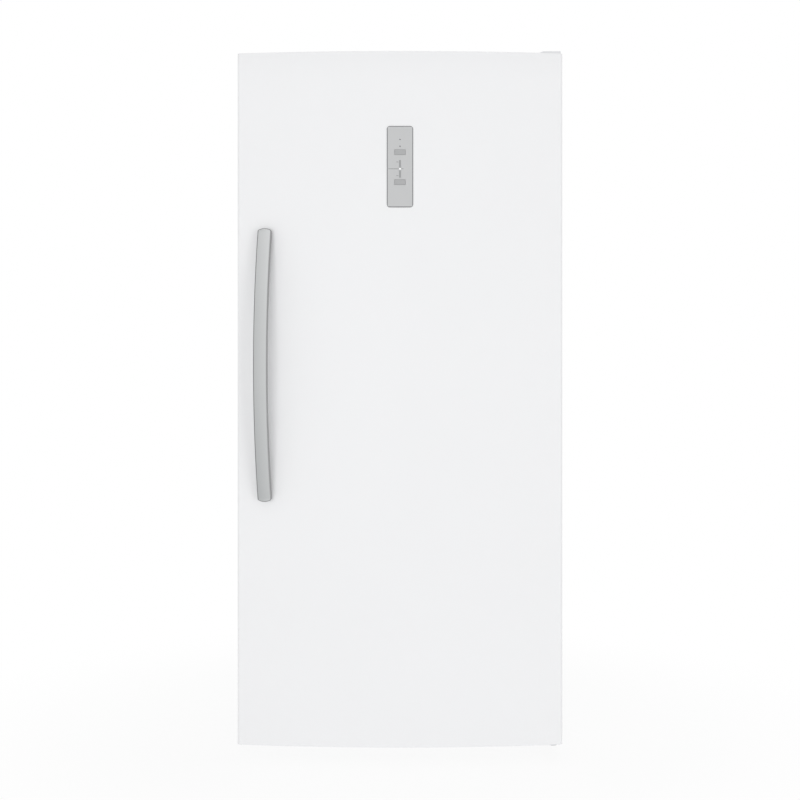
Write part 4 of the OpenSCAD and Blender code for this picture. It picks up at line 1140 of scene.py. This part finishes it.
@dataclass
class ControlPanel(Assembly):
    """The silver panel let into the door: its fascia, two buttons, light bar and small marks."""

    front: float = -314.2
    z: Span = (1382.5, 1583.5)
    light_z: float = 1477.5
    dots_z: Span = (1550.3, 1533.4)
    tick_half: float = 0.45
    ticks: tuple[Point, ...] = ((-29.0, -4.0, 0.0), (4.0, 9.0, 0.0), (-9.0, -4.0, 17.0), (-9.0, -4.0, -17.0))
    kept = {Slot.GRAY_PLASTIC: {"control_housing": 0.0}, Slot.CIRCUIT_BOARD: {"control_board": 0.0}}

    def make(self) -> None:
        """Makes the dots, the ticks and the lit point, and dresses what has a finish of its own."""
        out = (0.0, -1.0, 0.0)
        dots = Blank()
        for z in self.dots_z:
            dots.disc((0.0, self.front + 0.02, z), out, 1.5, 0.22, 0.1)
        dots.piece("panel_dots", "door", Slot.GRAY_PLASTIC)
        marks = Blank()
        for x0, x1, rise in self.ticks:
            z = self.light_z + rise
            span = (z - self.tick_half, z + self.tick_half)
            marks.block((x0, x1), (self.front - 0.12, self.front + 0.1), span, 0.1)
        marks.piece("panel_ticks", "door", Slot.GRAY_PLASTIC)
        middle = (0.0, self.front * MM, self.light_z * MM)
        lamp = Blank().disc((0.0, self.front - 0.28, self.light_z), out, 1.7, 0.3, 0.12)
        glow = LitFinish("bar_lamp", (0.95, 0.95, 0.95), 0.4, middle=middle, reach=0.004, glow=0.6)
        lamp.piece("light_bar_dot", "door", Slot.LAMP_DIFFUSER, finishes=(glow,))
        # The fascia's finish carries painted shade along its edge.
        panel = PanelFinish("panel_edge_shade", (0.56, 0.565, 0.57), 0.42, metallic=0.4, spread=0.01, cloud=0.08,
                            depth=0.000004, gloss_spread=0.03, low=self.z[0] * MM, high=self.z[1] * MM)
        self.dresser.keep(Slot.SILVER_PLASTIC, {"control_fascia": 0.9}, panel)
        push = Finish("button_face", (0.42, 0.425, 0.43), metallic=0.3, cloud=0.02, depth=0.000006)
        self.dresser.keep(Slot.SILVER_PLASTIC, {"button_upper": 0.7, "button_lower": 0.7}, push)
        bar = LitFinish("bar_diffuser", (0.30, 0.305, 0.31), 0.35, middle=middle, reach=0.006, glow=0.3)
        self.dresser.keep(Slot.LAMP_DIFFUSER, {"light_bar": 0.2}, bar)


@dataclass
class Cabinet(Assembly):
    """The steel cabinet with its liner, back, base and hinges."""

    half: float = 406.5
    face: float = -227.0
    back: float = 363.0
    skirt: float = 23.0
    top: float = 1766.0
    face_w: float = 40.0
    base: float = 60.0
    edge_r: float = 2.5
    room_x: float = 351.5
    room_z: Span = (120.0, 1706.0)
    room_back: float = 308.0
    hump_y: float = 73.0
    hump_z: float = 310.0
    fillet: float = 6.0
    lip: float = 5.0
    flange: Span = (15.0, 20.0)
    tuck: float = 1.3
    tuck_reach: float = 4.0
    machine_z: float = 262.0
    fields: int = 3
    screw_gap: float = 12.0
    shelves: tuple[float, ...] = (650.0, 960.0, 1270.0, 335.0)
    shelf_y: Span = (-115.0, 245.0)
    kept = {
        Slot.INSULATION: {"cabinet_foam": 0.0},
        Slot.WHITE_ENAMEL: {"front_rail": 0.5, "bottom_plate": 0.0},
        Slot.ZINC_STEEL: {"top_hinge": 0.8, "bottom_hinge": 0.8, "hinge_screws": 0.4},
        Slot.WHITE_PLASTIC: {"top_hinge_cover": 1.0, "toe_grille": 0.5},
    }

    def on_bend(self, edge: bmesh.types.BMEdge) -> bool:
        """Tells where the sheet is bent.

        Args:
            edge: An edge of the cabinet's box.

        Returns:
            True for an edge that the sheet bends round.
        """
        planes = ((0, self.half), (0, -self.half), (1, self.face), (2, self.top))
        near = [all(abs(v.co[axis] - at) < NEAR for v in edge.verts) for axis, at in planes]
        return sum(near) == 2

    def shell(self) -> None:
        """Sides, top and front face bent from one sheet."""
        blank = Blank().block((-self.half, self.half), (self.face, self.back), (self.skirt, self.top))
        mesh = blank.mesh
        blank.soften([e for e in mesh.edges if self.on_bend(e)], self.edge_r, 5)
        mesh.normal_update()
        gone = [f for f in mesh.faces if f.normal.y > 0.9 or f.normal.z < -0.9]
        bmesh.ops.delete(mesh, geom=gone, context="FACES")
        mesh.normal_update()
        inner, head = self.half - self.face_w, self.top - self.face_w
        cuts = [((s * inner, 0, 0), (1, 0, 0)) for s in (-1, 1)]
        cuts += [((0, 0, z), (0, 0, 1)) for z in (self.base, head)]
        for spot, normal in cuts:
            front = [f for f in mesh.faces if f.normal.y < -0.9]
            near = front + [e for f in front for e in f.edges] + [v for f in front for v in f.verts]
            near = list(dict.fromkeys(near))
            bmesh.ops.bisect_plane(mesh, geom=near, plane_co=spot, plane_no=normal, dist=0.001)
            mesh.normal_update()
        gone = []
        for f in mesh.faces:
            middle = f.calc_center_median()
            in_mouth = abs(middle.x) < inner and self.base < middle.z < head
            in_foot = middle.z < self.base and abs(middle.x) < self.half - 1.5 * self.edge_r
            if f.normal.y <= -0.9 and (in_mouth or in_foot):
                gone.append(f)
        bmesh.ops.delete(mesh, geom=gone, context="FACES")
        blank.piece("cabinet_wrap", "cabinet", Slot.WHITE_ENAMEL, ["cabinet_shell"], wall=1.0, closed=False)

    def room(self) -> None:
        """The formed liner of the food compartment, with its lip and a flange tucked behind the steel."""
        start = self.face + self.lip
        low, high = self.room_z
        side = [(start, low), (start, high), (self.room_back, high), (self.room_back, self.hump_z),
                (self.hump_y, self.hump_z), (self.hump_y, low)]
        rows = [[(x, y, z) for y, z in side] for x in (-self.room_x, self.room_x)]
        blank = Blank().grid(rows, ring=True, ends=True)
        mesh = blank.mesh

        def at_mouth(item: bmesh.types.BMEdge | bmesh.types.BMFace) -> bool:
            """Whether an edge or a face lies in the compartment's mouth."""
            return all(abs(v.co.y - start) < NEAR for v in item.verts)

        blank.soften([e for e in mesh.edges if not at_mouth(e)], self.fillet, 4)
        mesh.normal_update()
        bmesh.ops.recalc_face_normals(mesh, faces=mesh.faces)
        bmesh.ops.delete(mesh, geom=[f for f in mesh.faces if at_mouth(f)], context="FACES_ONLY")
        bmesh.ops.reverse_faces(mesh, faces=mesh.faces)
        edges = [e for e in mesh.edges if e.is_boundary]
        base = {v: (v.co.x, v.co.z) for e in edges for v in e.verts}
        half_z, mid_z = (high - low) / 2, (high + low) / 2
        curl = arc((self.lip, self.lip), -self.lip, 0, 90, 4)[1:]
        wide, tall = self.flange
        rings = [(out, out, y) for out, y in curl] + [(wide, tall, 0.0), (wide, tall, self.tuck)]
        rings.append((wide + self.tuck_reach, tall + self.tuck_reach, self.tuck))
        for out, rise, y in rings:
            grown = bmesh.ops.extrude_edge_only(mesh, edges=edges)["geom"]
            edges = [g for g in grown if isinstance(g, bmesh.types.BMEdge) and g.is_boundary]
            old = {}
            for v in (g for g in grown if isinstance(g, bmesh.types.BMVert)):
                old[v] = base[min(base, key=lambda w: (w.co - v.co).length_squared)]
            for v, (x, z) in old.items():
                x *= (self.room_x + out) / self.room_x
                v.co = (x, self.face + y, mid_z + (z - mid_z) * (half_z + rise) / half_z)
            base = old
        blank.piece("liner_form", "cabinet", Slot.WHITE_PLASTIC, ["cabinet_liner"], wall=1.6, closed=False)
        ledges = Blank()
        for z in self.shelves:
            for x in both_sides(self.room_x - 10.0, self.room_x + 0.6):
                ledges.block(x, self.shelf_y, (z - 8.0, z), 1.5)
        ledges.piece("liner_ledges", "cabinet", Slot.WHITE_PLASTIC)

    def rear(self) -> None:
        """The back sheet with its pressed fields, and the screws that hold it."""
        x = self.half - 1.0
        low, high = self.machine_z, self.top - 1.0
        face = self.back - 0.25
        rim = 10.0
        pitch = (high - low - 2 * rim) / self.fields
        pressed = ((26.0, 0.0, 16), (28.0, 0.08, 16), (34.0, 0.62, 15), (37.0, 0.7, 14))
        blank = Blank()
        for k in range(self.fields):
            sill = low + rim + k * pitch
            head = sill + pitch
            span = (sill if k else low, head if k < self.fields - 1 else high)
            loops = [rounded_loop(x, span, 0.5, face)]
            for inset, depth, radius in pressed:
                loops.append(rounded_loop(x - inset, (sill + inset, head - inset), radius, face - depth))
            blank.grid([loop[::-1] for loop in loops], ring=True).close(len(loops[0]))
        blank.piece("rear_sheet", "cabinet", Slot.ZINC_STEEL, ["rear_panel"], wall=0.25, sharp=60.0,
                    closed=False)
        screws = Blank()
        levels = [low + 40 + k * (high - low - 80) / 5 for k in range(6)]
        spots = [(s * (x - self.screw_gap), level) for s in (-1, 1) for level in levels]
        spots += [(place, high - self.screw_gap) for place in (-285.0, -95.0, 95.0, 285.0)]
        for sx, sz in spots:
            screws.disc((sx, self.back - 1.2, sz), (0, 1, 0), 4.2, 1.2, 0.8, 6)
        screws.piece("rear_screws", "cabinet", Slot.ZINC_STEEL)

    def make(self) -> None:
        """Makes the cabinet's shell, liner and rear sheet."""
        self.shell()
        self.room()
        self.rear()


@dataclass
class FoodRoom(Assembly):
    """Shelves, drawers, air duct and light in the food compartment."""

    kept = {
        Slot.WHITE_PLASTIC: {"shelf_frames": 1.8, "drawer_cover": 1.8, "evaporator_cover": 1.0,
                             "drain_trough": 0.0, "light_switch_body": 0.6, "light_switch_plunger": 0.5},
        Slot.SHELF_GLASS: {"shelf_glass": 0.5},
        Slot.CLEAR_PLASTIC: {"crisper_left": 1.0, "crisper_right": 1.0},
        Slot.MILL_ALUMINIUM: {"evaporator_coil": 0.0},
        Slot.HEATER_SHEATH: {"defrost_heater": 0.0},
        Slot.GRAY_PLASTIC: {"evaporator_fan": 0.0},
        Slot.BLACK_ENAMEL: {"evaporator_fan_motor": 0.0},
    }

    def make(self) -> None:
        """Lights the lamp's lens."""
        lens = LitFinish("room_lens", (0.88, 0.89, 0.88), 0.45, depth=0.00003, middle=(0.0, -0.045, 1.699),
                         reach=0.16, glow=5.0)
        self.dresser.keep(Slot.LAMP_DIFFUSER, {"lamp_lens": 1.5}, lens)


@dataclass
class DoorStorage(Assembly):
    """The bins and the dairy box that hang on the door's ribs."""

    kept = {
        Slot.CLEAR_PLASTIC: {"door_bin_1": 1.0, "door_bin_2": 1.0, "door_bin_3": 1.0, "dairy_box": 1.0,
                             "dairy_flap": 0.7},
    }


@dataclass
class MachineSpace(Assembly):
    """Compressor, condenser, fans and pan behind the louvred cover, and what the cabinet stands on."""

    cover_y: float = 361.0
    rows: int = 8
    first: float = 93.0
    pitch: float = 16.0
    louvres: tuple[float, ...] = (-250.0, -80.0, 90.0)
    louvre_half: float = 70.0
    screws_z: Span = (52.0, 250.0)
    kept = {
        Slot.COVER_BOARD: {"machine_cover": 0.0},
        Slot.ZINC_STEEL: {"compressor_tray": 0.0, "roller_brackets": 0.4},
        Slot.BLACK_ENAMEL: {"compressor": 0.0, "condenser_coil": 0.0, "condenser_fan_motor": 0.0},
        Slot.BLACK_RUBBER: {"compressor_grommets": 0.0},
        Slot.COPPER: {"refrigerant_pipes": 0.0},
        Slot.GRAY_PLASTIC: {"relay_box": 0.8, "drain_pan": 0.8, "cord_gland": 0.5, "condenser_fan": 0.0,
                            "roller_left": 1.0, "roller_right": 1.0, "leveling_leg_left": 0.8,
                            "leveling_leg_right": 0.8},
    }

    def make(self) -> None:
        """Makes a pressed lip over each louvre, and the cover's screws."""
        profile = ((0.0, 4.6), (0.9, 4.2), (1.6, 2.6), (1.75, 0.4), (1.2, 0.3), (0.9, 2.0), (0.0, 3.2))
        lips = Blank()
        for row in range(self.rows):
            z = self.first + row * self.pitch
            for x in self.louvres:
                ends = (x - self.louvre_half, x + self.louvre_half)
                lips.grid([[(end, self.cover_y + out, z + up) for out, up in profile] for end in ends],
                          ring=True, ends=True)
        lips.piece("louvre_lips", "cabinet", Slot.COVER_BOARD, sharp=40.0)
        screws = Blank()
        for x in (-380.0, -190.0, 0.0, 190.0, 380.0):
            for z in self.screws_z:
                screws.disc((x, self.cover_y, z), (0, 1, 0), 4.2, 1.8, 0.9, 6)
        screws.piece("cover_screws", "cabinet", Slot.ZINC_STEEL)


@dataclass(frozen=True)
class Softbox:
    """A large soft lamp: its place, what it faces and its size in metres, and its power in watts."""

    spot: Point
    target: Point
    size: Span
    power: float


@dataclass
class Studio:
    """The floor, the white surroundings, the lamps and the camera."""

    lens: float = 59.4
    sensor: float = 36.0
    distance: float = 3.3
    door_edge: float = -0.287
    eye: float = 1.0035
    shift: float = -0.05
    floor_half: float = 14.0
    floor_white: float = 0.9
    floor_glow: float = 0.4
    shadow_fade: Span = (0.5, 1.5)
    fill: float = 0.62
    lamps: tuple[Softbox, ...] = (
        Softbox((-1.6, -7.0, 1.1), (0.0, 0.0, 0.7), (3.2, 1.9), 109.0),
        Softbox((4.0, -6.2, 1.05), (0.0, 0.0, 0.7), (2.6, 1.9), 51.0),
        Softbox((1.6, 4.4, 2.2), (0.0, 0.0, 0.9), (2.6, 2.6), 48.0),
    )

    def seen(self, bench: Bench) -> Wire:
        """Tells the rays that show the background from those that light the object.

        Args:
            bench: The nodes of the floor or the world.

        Returns:
            1 for a ray from the camera, from a gloss or through glass, and 0 for any other.
        """
        path = bench.node("ShaderNodeLightPath")
        camera, glossy, through = (
            Wire(bench, path.outputs[n]) for n in ("Is Camera Ray", "Is Glossy Ray", "Is Transmission Ray")
        )
        return (camera + glossy + through).clamped()

    def surroundings(self) -> None:
        """A world that fills the shadows, and shows as white."""
        world = bpy.data.worlds.new("surroundings")
        bpy.context.scene.world = world
        bench = Bench(world)
        strength = self.seen(bench) * (1.0 - self.fill) + self.fill
        light = bench.out("ShaderNodeBackground", None, {"Color": (1.0, 1.0, 1.0), "Strength": strength})
        bench.node("ShaderNodeOutputWorld", None, {"Surface": light})

    def floor(self) -> None:
        """A pale floor that keeps a faint shadow, and gives light back to the door's lower part."""
        size = self.floor_half
        data = bpy.data.meshes.new("floor")
        corners = [(-size, -size, 0), (size, -size, 0), (size, size, 0), (-size, size, 0)]
        data.from_pydata(corners, [], [(0, 1, 2, 3)])
        floor = put("floor", data)
        made = bpy.data.materials.new("floor_paint")
        bench = Bench(made)
        matte = bench.out("ShaderNodeBsdfDiffuse", None, {"Color": (0.97, 0.97, 0.97)})
        white = bench.out("ShaderNodeEmission", None, {"Color": (1.0, 1.0, 1.0), "Strength": 1.0})
        flat = bench.vector("MULTIPLY", bench.place(), (1.0, 1.0, 0.0))
        far = bench.length(flat).step(*self.shadow_fade)
        share = far * (1.0 - self.floor_white) + self.floor_white
        given = bench.math("MAXIMUM", self.seen(bench) * share, self.floor_glow)
        blend = bench.out("ShaderNodeMixShader", None, {0: given, 1: matte, 2: white})
        bench.node("ShaderNodeOutputMaterial", None, {"Surface": blend})
        floor.data.materials.append(made)

    def light(self) -> None:
        """The soft lamps."""
        for number, box in enumerate(self.lamps):
            data = bpy.data.lights.new(f"softbox_{number}", "AREA")
            data.shape = "RECTANGLE"
            data.size, data.size_y = box.size
            data.energy = box.power
            lamp = put(data.name, data)
            lamp.location = box.spot
            lamp.visible_glossy = False
            away = Vector(box.target) - Vector(box.spot)
            lamp.rotation_euler = away.to_track_quat("-Z", "Y").to_euler()

    def camera(self) -> None:
        """A level camera in front of the door."""
        data = bpy.data.cameras.new("camera")
        data.lens = self.lens
        data.sensor_width = self.sensor
        data.shift_y = self.shift
        data.clip_end = 100.0
        seat = put("camera", data)
        seat.location = (0.0, self.door_edge - self.distance, self.eye)
        seat.rotation_euler = (math.radians(90), 0.0, 0.0)
        bpy.context.scene.camera = seat

    def build(self) -> None:
        """Sets the stage."""
        bpy.context.scene.view_settings.view_transform = "Standard"
        self.surroundings()
        self.floor()
        self.light()
        self.camera()


def main() -> None:
    """Builds the refrigerator round its frame, in order."""
    logging.basicConfig(level=logging.INFO, format="%(name)s: %(message)s")
    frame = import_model()
    Studio().build()
    dresser = Dresser(frame["nodes"])
    door = DoorPanel(dresser)
    for part in (
        door,
        BarHandle(dresser, door),
        ControlPanel(dresser),
        Cabinet(dresser),
        FoodRoom(dresser),
        DoorStorage(dresser),
        MachineSpace(dresser),
    ):
        part.build()
        LOG.info("built %s", type(part).__name__)


if __name__ == "__main__":
    main()
